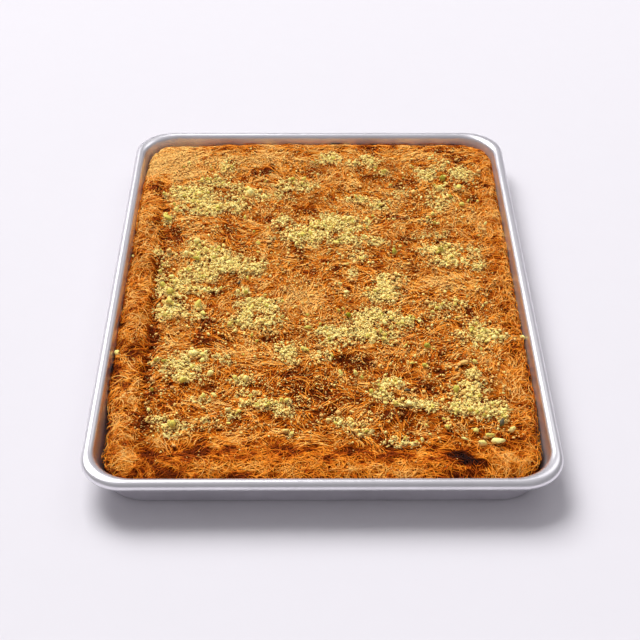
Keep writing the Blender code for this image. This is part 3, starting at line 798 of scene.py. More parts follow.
def cover_map(reach=1.60, softness=1 / 0.85, margin=0.003, margin_fade=0.004):
    """How thickly ground nut lies, from 0 to 1, in ragged drifts."""
    x, y = MAP_PLACES
    ragged = uneven_map("drift")
    cover = np.zeros_like(x)
    for *drift, thickness in DRIFTS:
        depth = reach - spot_distance(drift, x, y) + ragged
        cover = np.maximum(cover, thickness * rise(depth, 0.0, softness))
    return cover * rise(edge_distance(x, y), margin, margin_fade)


def powder_map(cover, hides_from=0.44, over=0.22, thin=0.25):
    """Where the powder hides the pastry, from 0 to 1, with pits down to the shreds."""
    return rise(cover + uneven_map("powder"), hides_from, over) * rise(cover, 0.0, thin)


def heap_map(powder, thickness=0.0009, lumpy=0.0013):
    """How high the powder's top lies over the bare pastry."""
    return powder * (thickness + lumpy * uneven_map("heap"))


def baked_map():
    """How far the crust is baked, from pale 0 to burnt 1, with painted shade in the groove."""
    x, y = MAP_PLACES
    # Painted shade: the groove beside the lip is darkened
    baked = BAKED_MIDDLE - BAKED_SLOPE * y + uneven_map("crust") + GROOVE_SHADE * groove_map()
    baked += bump(x - LIP_MIDDLE, BAKED_LIP_HALF) * uneven_map("lip")
    for amount, start, width, *layer in SPECKS:
        baked += amount * rise(noise_map(*layer), start, width)
    for middle, half, amount in BAKED_BANDS:
        baked += amount * bump(y - middle, half)
    for *spot, amount in BAKED_SPOTS:
        baked += SPOT_STRENGTH * amount * np.exp(-spot_distance(spot, x, y) ** 2)
    most = MOST_BAKED + (1.0 - MOST_BAKED) * np.exp(-spot_distance(CHAR_SPOT, x, y) ** 4)
    return np.minimum(baked, most)


def flow_maps():
    """Direction in which the shreds run, as the two parts of an arrow."""
    x, y = MAP_PLACES
    turn = uneven_map("flow")
    flow_x, flow_y = FREE_FLOW * np.cos(turn), FREE_FLOW * np.sin(turn)
    for *zone, degrees in COMBED:
        share = COMBED_FLOW * np.exp(-spot_distance(zone, x, y) ** 2)
        flow_x += share * math.cos(math.radians(degrees))
        flow_y += share * math.sin(math.radians(degrees))
    for mid_x, mid_y, reach in SWIRLS:
        away = np.hypot(x - mid_x, y - mid_y)
        share = SWIRL_FLOW * np.exp(-(away / reach) ** 2) / np.maximum(away, 1e-4)
        flow_x -= share * (y - mid_y)
        flow_y += share * (x - mid_x)
    return flow_x, flow_y


@functools.lru_cache(maxsize=1)
def survey():
    """All maps of the top, by name."""
    cover = cover_map()
    powder = powder_map(cover)
    flow_x, flow_y = flow_maps()
    return {
        "height": height_map(), "cover": cover, "powder": powder, "heap": heap_map(powder),
        "baked": baked_map(), "flow_x": flow_x, "flow_y": flow_y,
    }


def surveyed(name, x, y):
    """One map's value at any places."""
    return sample(survey()[name], x, y)


# The tray


def wall_lean(tray, rounds=20):
    """Slope of the wall: how far it goes inward for each metre that it goes down."""
    lean = tray.foot_inset / tray.height
    for _ in range(rounds):
        tilt = math.atan(lean)
        reach = tray.foot_inset + tray.sheet / math.cos(tilt) - tray.bead * (1 + math.cos(tilt))
        lean = reach / (tray.height - tray.bead + tray.bead * math.sin(tilt))
    return lean


def wall_inset(tray, height):
    """Inset of the wall's inner face at a height."""
    tilt = math.atan(wall_lean(tray))
    top_inset = tray.bead * (1 + math.cos(tilt))
    top_height = tray.height - tray.bead + tray.bead * math.sin(tilt)
    return top_inset + (top_height - height) * math.tan(tilt)


def sheet_section(tray, fillet_steps=8, roll_steps=28, roll_end=math.radians(322)):
    """The sheet's upper face as (inset, height), from the floor up the wall and round the rim."""
    tilt = math.atan(wall_lean(tray))
    fillet = tray.foot_fillet - tray.sheet
    fillet_inset = wall_inset(tray, tray.foot_fillet) + fillet / math.cos(tilt)
    section = []
    for step in range(fillet_steps + 1):
        angle = 1.5 * math.pi + (tilt - 0.5 * math.pi) * step / fillet_steps
        section.append((fillet_inset + fillet * math.cos(angle), tray.foot_fillet + fillet * math.sin(angle)))
    for share in (0.35, 0.7):
        height = tray.foot_fillet + share * (tray.height - tray.bead - tray.foot_fillet)
        section.append((wall_inset(tray, height), height))
    for step in range(roll_steps + 1):
        angle = tilt + (roll_end - tilt) * step / roll_steps
        across = tray.bead + tray.bead * math.cos(angle)
        section.append((across, tray.height - tray.bead + tray.bead * math.sin(angle)))
    return section


def model_tray(tray, corner_narrower=0.08, corner_steps=16, side_cuts=11):
    """Plane, rounded corners, then its edge extruded along the section; last the sheet's thickness."""
    start_modelling()
    section = sheet_section(tray)
    inset, height = section[0]
    corner = tray.rim_corner - corner_narrower * inset
    bpy.ops.mesh.primitive_plane_add(size=1.0, location=(0.0, 0.0, height))
    piece = bpy.context.object
    bpy.ops.object.transform_apply(location=True, rotation=False, scale=False)
    edit("VERT")
    select_all()
    grow(tray.width - 2 * inset, tray.depth - 2 * inset, 1.0)
    bpy.ops.mesh.bevel(offset=corner, segments=corner_steps, affect="VERTICES")
    bpy.ops.mesh.select_mode(type="EDGE")
    pick(piece, "edges", lambda edge: edge.calc_length() > 0.1)
    bpy.ops.mesh.subdivide(number_cuts=side_cuts)
    pick(piece, "edges", lambda edge: edge.is_boundary)
    for (inset, height), (next_inset, next_height) in zip(section, section[1:]):
        bpy.ops.mesh.extrude_edges_indiv()
        grow(*((side - 2 * next_inset) / (side - 2 * inset) for side in (tray.width, tray.depth)), 1.0)
        bpy.ops.transform.translate(value=(0.0, 0.0, next_height - height))
    face_outward()
    thicken(piece, tray.sheet)
    wall, film = wall_film(piece.data, tray)
    add_values(piece.data, "wall", wall)
    add_values(piece.data, "film", film)
    return piece


def thicken(piece, sheet, smooth_below=math.radians(40)):
    """Turn the sheet's modelled face up and give it its thickness underneath."""
    floor_face = max(piece.data.polygons, key=lambda face: face.area)
    if floor_face.normal.z < 0.0:
        piece.data.flip_normals()
    thickness = piece.modifiers.new("sheet", "SOLIDIFY")
    thickness.thickness = sheet
    thickness.offset = -1.0
    bpy.ops.object.modifier_apply(modifier=thickness.name)
    bpy.ops.object.shade_smooth_by_angle(angle=smooth_below)


def wall_film(mesh, tray, clean=0.0015, fade=0.0070, back_from=0.09, back_over=0.10, least=0.10):
    """For each point, how far it is on the wall's inner face, and how much film is baked on there, more
    toward the far wall, where it also paints the pastry's reflection.
    """
    places, normals = read_vectors(mesh, "vertices", "co"), read_vectors(mesh, "vertex_normals", "vector")
    inward = -np.sum(places[:, :2] * normals[:, :2], axis=1) > 0.0
    below_rim = rise(tray.height - clean - places[:, 2], 0.0, fade)
    wall = below_rim * inward * (places[:, 2] > 2 * tray.sheet)
    return wall, wall * rise(places[:, 1], back_from, back_over, least)


class KUNAFA_OT_add_tray(bpy.types.Operator):
    """Add the aluminium sheet tray with its rolled rim"""

    bl_idname = "kunafa.add_tray"
    bl_label = "Tray"

    def execute(self, context):
        piece = model_tray(settings("kunafa_tray"))
        finish_piece(piece, "sheet_tray", tray_material())
        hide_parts("tray")
        return {"FINISHED"}


# The bed of matted pastry


def set_bed_outline(piece, pastry):
    """Stretch the grid to the slab's size and round its corners."""
    places = read_vectors(piece.data, "vertices", "co")
    straight_x, straight_y = pastry.width / 2 - pastry.corner, pastry.depth / 2 - pastry.corner
    x, y = places[:, 0] * pastry.width, places[:, 1] * pastry.depth
    over_x = np.maximum((np.abs(x) - straight_x) / pastry.corner, 0.0)
    over_y = np.maximum((np.abs(y) - straight_y) / pastry.corner, 0.0)
    in_corner = (over_x > 0.0) & (over_y > 0.0)
    round_x = np.sign(x) * (straight_x + pastry.corner * over_x * np.sqrt(1.0 - over_y ** 2 / 2))
    round_y = np.sign(y) * (straight_y + pastry.corner * over_y * np.sqrt(1.0 - over_x ** 2 / 2))
    places[:, 0], places[:, 1] = np.where(in_corner, round_x, x), np.where(in_corner, round_y, y)
    move_points(piece.data, places)


def crumbly(x, y, reach=0.75):
    """Small round heads, as packed crumbs have them, from 0 in the cracks to 1."""
    nearest = [
        noise.voronoi(Vector((across, along, 0.0)))[0][0]
        for across, along in zip((x / CRUMB_CELL).tolist(), (y / CRUMB_CELL).tolist())
    ]
    return np.sqrt(np.maximum(1.0 - (np.array(nearest) / reach) ** 2, 0.0))


def set_bed_top(piece, pastry, rough=0.0004, rough_size=0.0024, heads=0.0008, level=0.6):
    """Raise the top to the surveyed form, with the powder heaped on it."""
    places = read_vectors(piece.data, "vertices", "co")
    x, y = places[:, 0], places[:, 1]
    powder = surveyed("powder", x, y)
    bare = rough * noise_at(x / rough_size, y / rough_size, 51.0) - pastry.bed_drop
    heaped = surveyed("heap", x, y) + powder * heads * (crumbly(x, y) - level)
    places[:, 2] = surveyed("height", x, y) + np.where(powder > 0.0, heaped, 0.0) + (1.0 - powder) * bare
    move_points(piece.data, places)


def extrude_sides(piece, pastry, tray):
    """Extrude the top's edge down beside the wall, ring by ring, and close it underneath."""
    edit("EDGE")
    pick(piece, "edges", lambda edge: edge.is_boundary)
    width, depth = pastry.width, pastry.depth
    floor = tray.sheet + FLOOR_GAP
    for height in (*SIDE_RINGS, floor):
        inset = max(wall_inset(tray, height) + WALL_GAP, (tray.width - pastry.width) / 2)
        if height == floor:
            inset += tray.foot_fillet
        new_width, new_depth = tray.width - 2 * inset, tray.depth - 2 * inset
        bpy.ops.mesh.extrude_edges_indiv()
        grow(new_width / width, new_depth / depth, 0.0)
        bpy.ops.transform.translate(value=(0.0, 0.0, height))
        width, depth = new_width, new_depth
    bpy.ops.mesh.edge_face_add()
    face_outward()


def model_bed(pastry, tray, finer_from=0.12, nuts_down_to=0.005):
    """Grid for the top, finer under the powder, with sides; then what its material reads."""
    start_modelling()
    bpy.ops.mesh.primitive_grid_add(x_subdivisions=BED_CELLS[0], y_subdivisions=BED_CELLS[1], size=1.0)
    piece = bpy.context.object
    set_bed_outline(piece, pastry)
    edit("FACE")
    middles = np.array([face.calc_center_median()[:2] for face in bmesh.from_edit_mesh(piece.data).faces])
    powdered = surveyed("powder", *middles.T) > finer_from
    pick(piece, "faces", lambda face: powdered[face.index])
    bpy.ops.mesh.subdivide(number_cuts=1)
    bpy.ops.object.mode_set(mode="OBJECT")
    set_bed_top(piece, pastry)
    extrude_sides(piece, pastry, tray)
    bpy.ops.object.shade_smooth()
    places = read_vectors(piece.data, "vertices", "co")
    add_values(piece.data, "baked", bed_baking(pastry, *places.T))
    deep = places[:, 2] < pastry.top - nuts_down_to
    add_values(piece.data, "nutty", np.where(deep, 0.0, surveyed("powder", *places.T[:2])))
    # How far each point lies down in the powder's cracks, for the painted shade there
    add_values(piece.data, "sunk", 1.0 - crumbly(*places.T[:2]))
    move_points(piece.data, draw_in(places))
    return piece


def bed_baking(pastry, x, y, z, darker=0.22, sides_shade=0.40, sides_from=0.004, sides_over=0.010):
    """How far the bed is baked, with painted shade added: darker than the shreds on it, as shade below them,
    and darkest down the sides, as shade in the gap beside the wall.
    """
    deep = rise(pastry.top - sides_from - z, 0.0, sides_over)
    local = surveyed("baked", x, y)
    # Painted shade: the bed is darker than its place, most of all down the sides
    return np.maximum(local, np.minimum(local + darker + sides_shade * deep, MOST_BAKED))


class KUNAFA_OT_add_bed(bpy.types.Operator):
    """Add the bed of matted pastry that carries the shreds and the nuts"""

    bl_idname = "kunafa.add_bed"
    bl_label = "Pastry bed"

    def execute(self, context):
        piece = model_bed(settings("kunafa_pastry"), settings("kunafa_tray"))
        finish_piece(piece, "pastry_bed", bed_material())
        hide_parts("kunafa")
        return {"FINISHED"}


# Copies joined into one piece


def read_shape(piece):
    """Take a modelled template's points and faces, and remove it."""
    mesh = piece.data
    points = read_vectors(mesh, "vertices", "co")
    corners = np.empty(len(mesh.loops), dtype=np.int64)
    mesh.loops.foreach_get("vertex_index", corners)
    starts = np.empty(len(mesh.polygons), dtype=np.int64)
    mesh.polygons.foreach_get("loop_start", starts)
    bpy.data.objects.remove(piece, do_unlink=True)
    return Shape(points, corners, starts)


def join_copies(name, groups, value_name, smooth):
    """One object of many copies: groups of (points of each copy, template, number for each point)."""
    points, corners, starts, values = [], [], [], []
    point_count, corner_count = 0, 0
    for places, shape, numbers in groups:
        copies = np.arange(len(places))[:, None]
        corners.append((shape.corners + point_count + copies * places.shape[1]).ravel())
        starts.append((shape.starts + corner_count + copies * len(shape.corners)).ravel())
        points.append(places.reshape(-1, 3))
        values.append(np.broadcast_to(numbers, places.shape[:2]).ravel())
        point_count += places.shape[0] * places.shape[1]
        corner_count += len(places) * len(shape.corners)
    mesh = bpy.data.meshes.new(name)
    mesh.vertices.add(point_count)
    mesh.vertices.foreach_set("co", np.concatenate(points).ravel())
    mesh.loops.add(corner_count)
    mesh.loops.foreach_set("vertex_index", np.concatenate(corners))
    starts = np.concatenate(starts)
    mesh.polygons.add(len(starts))
    mesh.polygons.foreach_set("loop_start", starts)
    mesh.update(calc_edges=True)
    add_values(mesh, value_name, np.concatenate(values))
    if smooth:
        mesh.shade_smooth()
    piece = bpy.data.objects.new(name, mesh)
    bpy.context.scene.collection.objects.link(piece)
    return piece


# Shreds of pastry


def model_shred(steps, end_size=0.45):
    """One straight shred of unit length along X and unit thickness, with drawn-in ends."""
    start_modelling()
    bpy.ops.mesh.primitive_cylinder_add(
        vertices=3, radius=0.5, depth=1.0, location=(0.5, 0.0, 0.0), rotation=(0.0, math.pi / 2, 0.0)
    )
    piece = bpy.context.object
    bpy.ops.object.transform_apply()
    edit("EDGE")
    pick(piece, "edges", lambda edge: abs(edge.verts[0].co.x - edge.verts[1].co.x) > 0.5)
    bpy.ops.mesh.subdivide(number_cuts=steps - 1)
    bpy.ops.mesh.select_mode(type="VERT")
    for end in (0.0, 1.0):
        pick(piece, "verts", lambda vert: abs(vert.co.x - end) < 0.01)
        grow(1.0, end_size, end_size, middle=(end, 0.0, 0.0))
    bpy.ops.object.mode_set(mode="OBJECT")
    return read_shape(piece)


def arrow(heading):
    """The two parts of a step of unit length."""
    return np.stack([np.cos(heading), np.sin(heading)], axis=-1)


def trace(starts, headings, curls, lengths, follow, steps):
    """Centre lines that bend by their own curl and turn toward the local flow."""
    place, heading = starts.copy(), headings.copy()
    stride = lengths / steps
    line = np.zeros((len(starts), steps + 1, 2))
    for station in range(steps + 1):
        line[:, station] = place
        place = place + stride[:, None] * arrow(heading)
        flow_x, flow_y = (surveyed(part, *place.T) for part in ("flow_x", "flow_y"))
        pull = 0.5 * np.sin(2.0 * (np.arctan2(flow_y, flow_x) - heading))
        heading = heading + stride * curls + follow * pull
    return line + (starts - line[:, steps // 2])[:, None]


def flow_runs(draw, starts, veer, curl, length):
    """Headings near the flow, curls and lengths of the shreds that begin at the starts."""
    count = len(starts)
    flow = np.arctan2(*(surveyed(part, *starts.T) for part in ("flow_y", "flow_x")))
    headings = flow + draw.normal(0.0, veer, count)
    return headings, draw.normal(0.0, curl, count), draw.uniform(*length, count)


def hold_inside(line, reach=0.0013, away=0.0005):
    """Draw points that lie too far out of the slab's outline back toward it."""
    for _ in range(2):
        x, y = line[..., 0], line[..., 1]
        slope_x = (edge_distance(x + away, y) - edge_distance(x - away, y)) / (2 * away)
        slope_y = (edge_distance(x, y + away) - edge_distance(x, y - away)) / (2 * away)
        lack = np.maximum(-reach - edge_distance(x, y), 0.0)
        line = line + np.stack([slope_x * lack, slope_y * lack], axis=-1)
    return line


def lay(line, lift, arch, tuck=0.0011, droop=0.0022, droop_over=0.0016, lowest=0.004, highest=0.0052):
    """Heights along centre lines: on the slab, arched in the middle, ends tucked in, outer parts hanging."""
    pastry = settings("kunafa_pastry")
    height = surveyed("height", line[..., 0], line[..., 1])
    share = np.linspace(-1.0, 1.0, line.shape[1])
    outward = np.clip(-edge_distance(line[..., 0], line[..., 1]) / droop_over, 0.0, 3.0)
    height = height + lift[:, None] + arch[:, None] * (1.0 - share ** 2) - tuck * share ** 6
    return np.clip(height - droop * outward ** 1.4, lowest, pastry.top + highest)


def sweep(shape, line, height, thickness):
    """Bend copies of a straight shred along centre lines."""
    steps = line.shape[1] - 1
    path = np.concatenate([line, height[..., None]], axis=2)
    along = np.gradient(path, axis=1)
    along /= np.linalg.norm(along, axis=2, keepdims=True) + 1e-12
    side = np.cross(along, (0.0, 0.0, 1.0))
    side /= np.linalg.norm(side, axis=2, keepdims=True) + 1e-12
    upward = np.cross(side, along)
    station = np.rint(shape.points[:, 0] * steps).astype(int)
    across, up = shape.points[:, 1, None], shape.points[:, 2, None]
    size = thickness[:, None, None]
    return path[:, station] + size * (across * side[:, station] + up * upward[:, station])


def bake_shreds(draw, shape, line, lift, arch, thickness, darker, spread=0.15, own_share=0.25):
    """Points and baking of swept shreds, each lighter or darker than its place, partly at random and partly
    by the layer's painted shade; some hang over the gap.
    """
    line = hold_inside(line)
    points = sweep(shape, line, lay(line, lift, arch), thickness)
    middle_x, middle_y = line[:, line.shape[1] // 2].T
    own, local = surveyed("baked", middle_x, middle_y), surveyed("baked", points[..., 0], points[..., 1])
    even = NEAR_EVEN * bump(middle_y - NEAR_BAND_Y, NEAR_EVEN_HALF)
    even -= LIP_UNEVEN * bump(middle_x - LIP_MIDDLE, BAKED_LIP_HALF)
    # Painted light and shade by layer: darker for lower layers, paler for the top curls; the normal draw is
    # random tone
    tone = darker + draw.normal(0.0, spread, len(line)) * (1.0 - even)
    baked = own_share * own[:, None] + (1.0 - own_share) * local + tone[:, None]
    share = draw.uniform(0.5, 1.0, (len(points), 1, 1))
    points += share * (draw_in(points) - points)
    return points, shape, np.minimum(baked, np.maximum(local, MOST_BAKED))


def lay_shreds(draw, shape, line, lift, arch, thickness, darker, spread):
    """Shreds of which each has its own lift and thickness, and its own arch where that has a range."""
    count = len(line)
    lift = draw.uniform(*lift, count)
    arch = draw.uniform(*arch, count) if arch else np.zeros(count)
    thickness = settings("kunafa_pastry").shred * draw.uniform(*thickness, count)
    return bake_shreds(draw, shape, line, lift, arch, thickness, darker, spread)


def keep_bare(draw, starts, most, hidden=0.7):
    """Leave out most of what the drifts of nut hide."""
    powder = surveyed("powder", *starts.T)
    return starts[(powder < hidden) | (draw.random(len(starts)) > most)]


def spread_over(draw, count, margin, spare=1.1, unrest=0.0006):
    """Places spread evenly over the slab, in no visible order, some way inside its outline."""
    pastry = settings("kunafa_pastry")
    steps = np.outer(np.arange(count * spare) + draw.uniform(0.0, 1000.0), EVEN_STEPS)
    places = (steps % 1.0 - 0.5) * (pastry.width, pastry.depth) + draw.normal(0.0, unrest, (len(steps), 2))
    places = places[edge_distance(places[:, 0], places[:, 1]) > margin]
    return draw.permutation(places)[:count]


def matted_shreds(draw, shape, steps, count=6900):
    """The lower layer: short shreds that lie every way."""
    starts = keep_bare(draw, spread_over(draw, count, margin=0.0015), most=0.85)
    runs = flow_runs(draw, starts, veer=0.65, curl=110.0, length=(0.009, 0.018))
    line = trace(starts, *runs, follow=0.08, steps=steps)
    # Painted shade: the lower layer is darker than its place
    return lay_shreds(
        draw, shape, line, lift=(-0.0006, -0.0001), arch=None, thickness=(0.85, 1.25), darker=0.08,
        spread=0.11,
    )


def combed_shreds(
    draw, shape, steps, locks=980, lock_size=7, lock_width=0.0016, lock_shift=0.003, stray=0.22,
    own_curl=25.0, lock_lift=0.0003, own_lift=0.0002, arch=0.0001,
):
    """The upper layer: locks of shreds that run side by side with the flow."""
    starts = keep_bare(draw, spread_over(draw, locks, margin=0.004), most=0.92)
    locks = len(starts)
    heading, curl, length = flow_runs(draw, starts, veer=0.34, curl=85.0, length=(0.008, 0.018))
    offset = draw.normal(0.0, lock_width, (locks, lock_size))
    shift = draw.normal(0.0, lock_shift, (locks, lock_size))
    forth = arrow(heading)[:, None]
    away = forth[..., ::-1] * (-1.0, 1.0)
    places = starts[:, None] + offset[..., None] * away + shift[..., None] * forth
    count = locks * lock_size
    each = np.repeat(np.arange(locks), lock_size)
    headings = heading[each] + draw.normal(0.0, stray, count)
    curls = curl[each] + draw.normal(0.0, own_curl, count)
    lengths = length[each] * draw.uniform(0.75, 1.2, count)
    line = trace(places.reshape(-1, 2), headings, curls, lengths, follow=0.20, steps=steps)
    lift = draw.uniform(-lock_lift, lock_lift, locks)[each] + draw.uniform(-own_lift, own_lift, count)
    thickness = settings("kunafa_pastry").shred * draw.uniform(0.75, 1.15, count)
    # Painted light: the upper layer's locks are a little paler on average, with random tone per lock
    tone = draw.normal(-0.05, 0.09, locks)[each]
    return bake_shreds(draw, shape, line, lift, np.full(count, arch), thickness, tone)


def border_shreds(
    draw, shape, steps, tried=26000, count=3700, most=0.95, edge_reach=0.007, band_y=-0.203,
    band_half=0.018, on_band=0.75, on_lip=0.6,
):
    """Curled shreds along the lip, the near band and the other edges."""
    places = spread_over(draw, tried, margin=-0.0012)
    x, y = places.T
    likely = np.exp(-(edge_distance(x, y) / edge_reach) ** 2)
    likely = np.maximum(likely, on_band * bump(y - band_y, band_half))
    likely = np.maximum(likely, on_lip * bump(x - LIP_MIDDLE, BAKED_LIP_HALF))
    starts = places[draw.random(len(places)) < most * likely][:count]
    runs = flow_runs(draw, starts, veer=0.55, curl=110.0, length=(0.010, 0.024))
    line = trace(starts, *runs, follow=0.12, steps=steps)
    return lay_shreds(
        draw, shape, line, lift=(-0.0004, 0.0005), arch=(0.0, 0.0006), thickness=(0.8, 1.2), darker=0.02,
        spread=0.13,
    )


def loose_shreds(
    draw, shape, steps, tried=14000, count=1600, most=0.45, anywhere=0.05, at_edge=0.6, edge_reach=0.008,
    band_y=-0.206, band_half=0.014, on_band=0.5, curled_corner=(0.134, -0.200, 0.018, 0.018), in_corner=0.5,
    radii=(0.003, 0.011), turned=(1.6, 5.0), longest=0.030,
):
    """Single curls and loops that stand off the surface, most of them near the edges."""
    places = spread_over(draw, tried, margin=-0.0015)
    x, y = places.T
    likely = anywhere + at_edge * np.exp(-(edge_distance(x, y) / edge_reach) ** 2)
    likely += on_band * bump(y - band_y, band_half)
    likely += in_corner * np.exp(-spot_distance(curled_corner, x, y) ** 2)
    bare = surveyed("powder", x, y) < 0.5
    starts = places[draw.random(len(places)) < most * likely * bare][:count]
    radius = draw.uniform(*radii, len(starts))
    curls = draw.choice((-1.0, 1.0), len(starts)) / radius
    lengths = np.minimum(radius * draw.uniform(*turned, len(starts)), longest)
    headings = draw.uniform(0.0, FULL_TURN, len(starts))
    line = trace(starts, headings, curls, lengths, follow=0.0, steps=steps)
    # Painted light: curls that stand off the surface are paler, as lit
    return lay_shreds(
        draw, shape, line, lift=(0.0001, 0.0006), arch=(0.0001, 0.0013), thickness=(0.65, 0.9), darker=-0.12,
        spread=0.10,
    )


def outline_points(count, fineness=7200):
    """Even places round the slab's top outline, and the direction straight out at each."""
    pastry = settings("kunafa_pastry")
    angle = np.linspace(0.0, FULL_TURN, fineness, endpoint=False)
    out = arrow(angle)
    middle = np.sign(out) * (pastry.width / 2 - pastry.corner, pastry.depth / 2 - pastry.corner)
    ring = middle + pastry.corner * out
    step = np.linalg.norm(np.roll(ring, -1, axis=0) - ring, axis=1)
    travelled = np.concatenate([[0.0], np.cumsum(step)])
    wanted = np.linspace(0.0, travelled[-1], count, endpoint=False)
    both = np.hstack([ring, out])
    closed = np.concatenate([both, both[:1]])
    evened = np.stack([np.interp(wanted, travelled, column) for column in closed.T], axis=1)
    places, ways = evened[:, :2], evened[:, 2:]
    return places, ways / np.linalg.norm(ways, axis=1, keepdims=True), travelled[-1]


def side_shreds(
    draw, shape, steps, count=1100, cells=1440, middles=(0.0145, 0.0225), slope=0.005, lowest=0.0140,
    highest=0.0232, wave=0.0010, waves=9.0, stand_off=(-0.0004, 0.0013), weave=0.0005, weaves=7.0,
    darker=0.32,
):
    """Shreds along the slab's side, which is seen only in the gap beside the wall, painted darker as shade in
    that gap.
    """
    tray, pastry = settings("kunafa_tray"), settings("kunafa_pastry")
    ring, out, around = outline_points(cells)
    length = draw.uniform(0.012, 0.026, count)
    begin = draw.uniform(0.0, 1.0, count)
    share = np.linspace(-0.5, 0.5, steps + 1)
    index = np.rint((begin[:, None] + share * length[:, None] / around) * cells).astype(int) % cells
    height = draw.uniform(*middles, count)[:, None] + share * draw.normal(0.0, slope, count)[:, None]
    height += wave * np.sin(share * waves + draw.uniform(0.0, FULL_TURN, count)[:, None])
    height = np.clip(height, lowest, highest)
    room = (tray.width - pastry.width) / 2 - wall_inset(tray, height) - pastry.shred
    reach = np.minimum(draw.uniform(*stand_off, count)[:, None] + weave * np.sin(share * weaves), room)
    line = ring[index] + out[index] * reach[..., None]
    line[:, 1:-1] = (line[:, :-2] + line[:, 1:-1] * 2 + line[:, 2:]) / 4
    points = sweep(shape, line, height, pastry.shred * draw.uniform(0.8, 1.2, count))
    local = surveyed("baked", points[..., 0], points[..., 1])
    # Painted shade: the side shreds are darker, as the gap beside the wall is shaded
    return draw_in(points), shape, local + darker + draw.normal(0.0, 0.10, count)[:, None]


# Layers of shreds: name, what lays them, steps along a shred, seed
SHRED_LAYERS = (
    ("matted_shreds", matted_shreds, 5, 101),
    ("combed_shreds", combed_shreds, 5, 102),
    ("border_shreds", border_shreds, 7, 103),
    ("loose_shreds", loose_shreds, 11, 104),
    ("side_shreds", side_shreds, 7, 105),
)


class KUNAFA_OT_add_shreds(bpy.types.Operator):
    """Add the layers of pastry shreds"""

    bl_idname = "kunafa.add_shreds"
    bl_label = "Shreds"

    def execute(self, context):
        for name, layer, steps, seed in SHRED_LAYERS:
            shape = model_shred(steps)
            laid = layer(np.random.default_rng(seed), shape, steps)
            piece = join_copies(name, [laid], "baked", smooth=True)
            finish_piece(piece, name, shred_material())
        return {"FINISHED"}


# Pistachio


def model_grain(seed):
    """A grain of powder: a five-sided cone pulled askew."""
    start_modelling()
    bpy.ops.mesh.primitive_cone_add(vertices=5, radius1=0.62, depth=0.62)
    piece = bpy.context.object
    edit("VERT")
    pick(piece, "verts", lambda vert: vert.co.z > 0.2)
    bpy.ops.transform.translate(value=(0.22, -0.14, -0.1))
    select_all()
    bpy.ops.transform.vertex_random(offset=0.26, seed=seed)
    bpy.ops.object.mode_set(mode="OBJECT")
    return read_shape(piece)


def model_crumb(seed):
    """A crumb: a block with its corners pushed about, so that its faces are flat and askew."""
    start_modelling()
    bpy.ops.mesh.primitive_cube_add(size=0.72)
    piece = bpy.context.object
    edit("VERT")
    select_all()
    grow(1.15, 0.9, 0.8)
    bpy.ops.transform.vertex_random(offset=0.27, seed=seed)
    bpy.ops.mesh.quads_convert_to_tris()
    bpy.ops.object.mode_set(mode="OBJECT")
    return read_shape(piece)


def model_chunk(seed, breaks=6):
    """A larger broken piece: a long ball with flat, sharp breaks all round."""
    start_modelling()
    bpy.ops.mesh.primitive_ico_sphere_add(subdivisions=1, radius=0.56)
    piece = bpy.context.object
    draw = np.random.default_rng(seed)
    edit("VERT")
    select_all()
    bpy.ops.transform.vertex_random(offset=0.08, seed=seed)
    for _ in range(breaks):
        away = draw.normal(0.0, 1.0, 3)
        away /= np.linalg.norm(away)
        select_all()
        bpy.ops.mesh.bisect(
            plane_co=tuple(away * draw.uniform(0.22, 0.36)), plane_no=tuple(away),
            use_fill=True, clear_outer=True,
        )
    select_all()
    grow(1.0, 0.84, 0.72)
    bpy.ops.object.mode_set(mode="OBJECT")
    return read_shape(piece)


def tumble(draw, count, flat):
    """Random rotations; a small flat keeps each piece near its flat side."""
    turns = draw.normal(0.0, 1.0, (count, 4)) * (1.0, flat, flat, 1.0)
    w, x, y, z = (turns / np.linalg.norm(turns, axis=1, keepdims=True)).T
    rows = [
        [1 - 2 * (y * y + z * z), 2 * (x * y - z * w), 2 * (x * z + y * w)],
        [2 * (x * y + z * w), 1 - 2 * (x * x + z * z), 2 * (y * z - x * w)],
        [2 * (x * z - y * w), 2 * (y * z + x * w), 1 - 2 * (x * x + y * y)],
    ]
    return np.array(rows).transpose(2, 0, 1)


def place_copies(draw, shapes, places, sizes, flat, tints, below_rim=0.0003, underside=0.90):
    """Turn, scale and place copies, sharing the templates out in turn; none stands above the rim. Each copy's
    lower part gets painted shade in its tint.
    """
    highest = settings("kunafa_tray").height - below_rim
    groups = []
    for number, shape in enumerate(shapes):
        mine = slice(number, None, len(shapes))
        count = len(places[mine])
        stretch = draw.uniform(0.65, 1.35, (count, 1, 3))
        local = shape.points[None] * sizes[mine][:, None, None] * stretch
        points = np.einsum("nij,nvj->nvi", tumble(draw, count, flat), local) + places[mine][:, None]
        # Painted shade: points below a copy's middle get a darker tint, toward the undersides' dark
        depth = np.minimum(points[..., 2] - places[mine][:, 2, None], 0.0) / sizes[mine][:, None]
        points[..., 2] -= np.maximum(points[..., 2].max(axis=1) - highest, 0.0)[:, None]
        groups.append((points, shape, tints[mine][:, None] + underside * depth))
    return groups


def scatter_by(draw, weights, count):
    """Random places, denser where the map is higher."""
    odds = weights.ravel() / weights.sum()
    cells = draw.choice(weights.size, size=count, p=odds)
    row, column = np.unravel_index(cells, weights.shape)
    shift = draw.uniform(-0.5, 0.5, (2, count)) * MAP_CELL
    return MAP_X[column] + shift[0], MAP_Y[row] + shift[1]


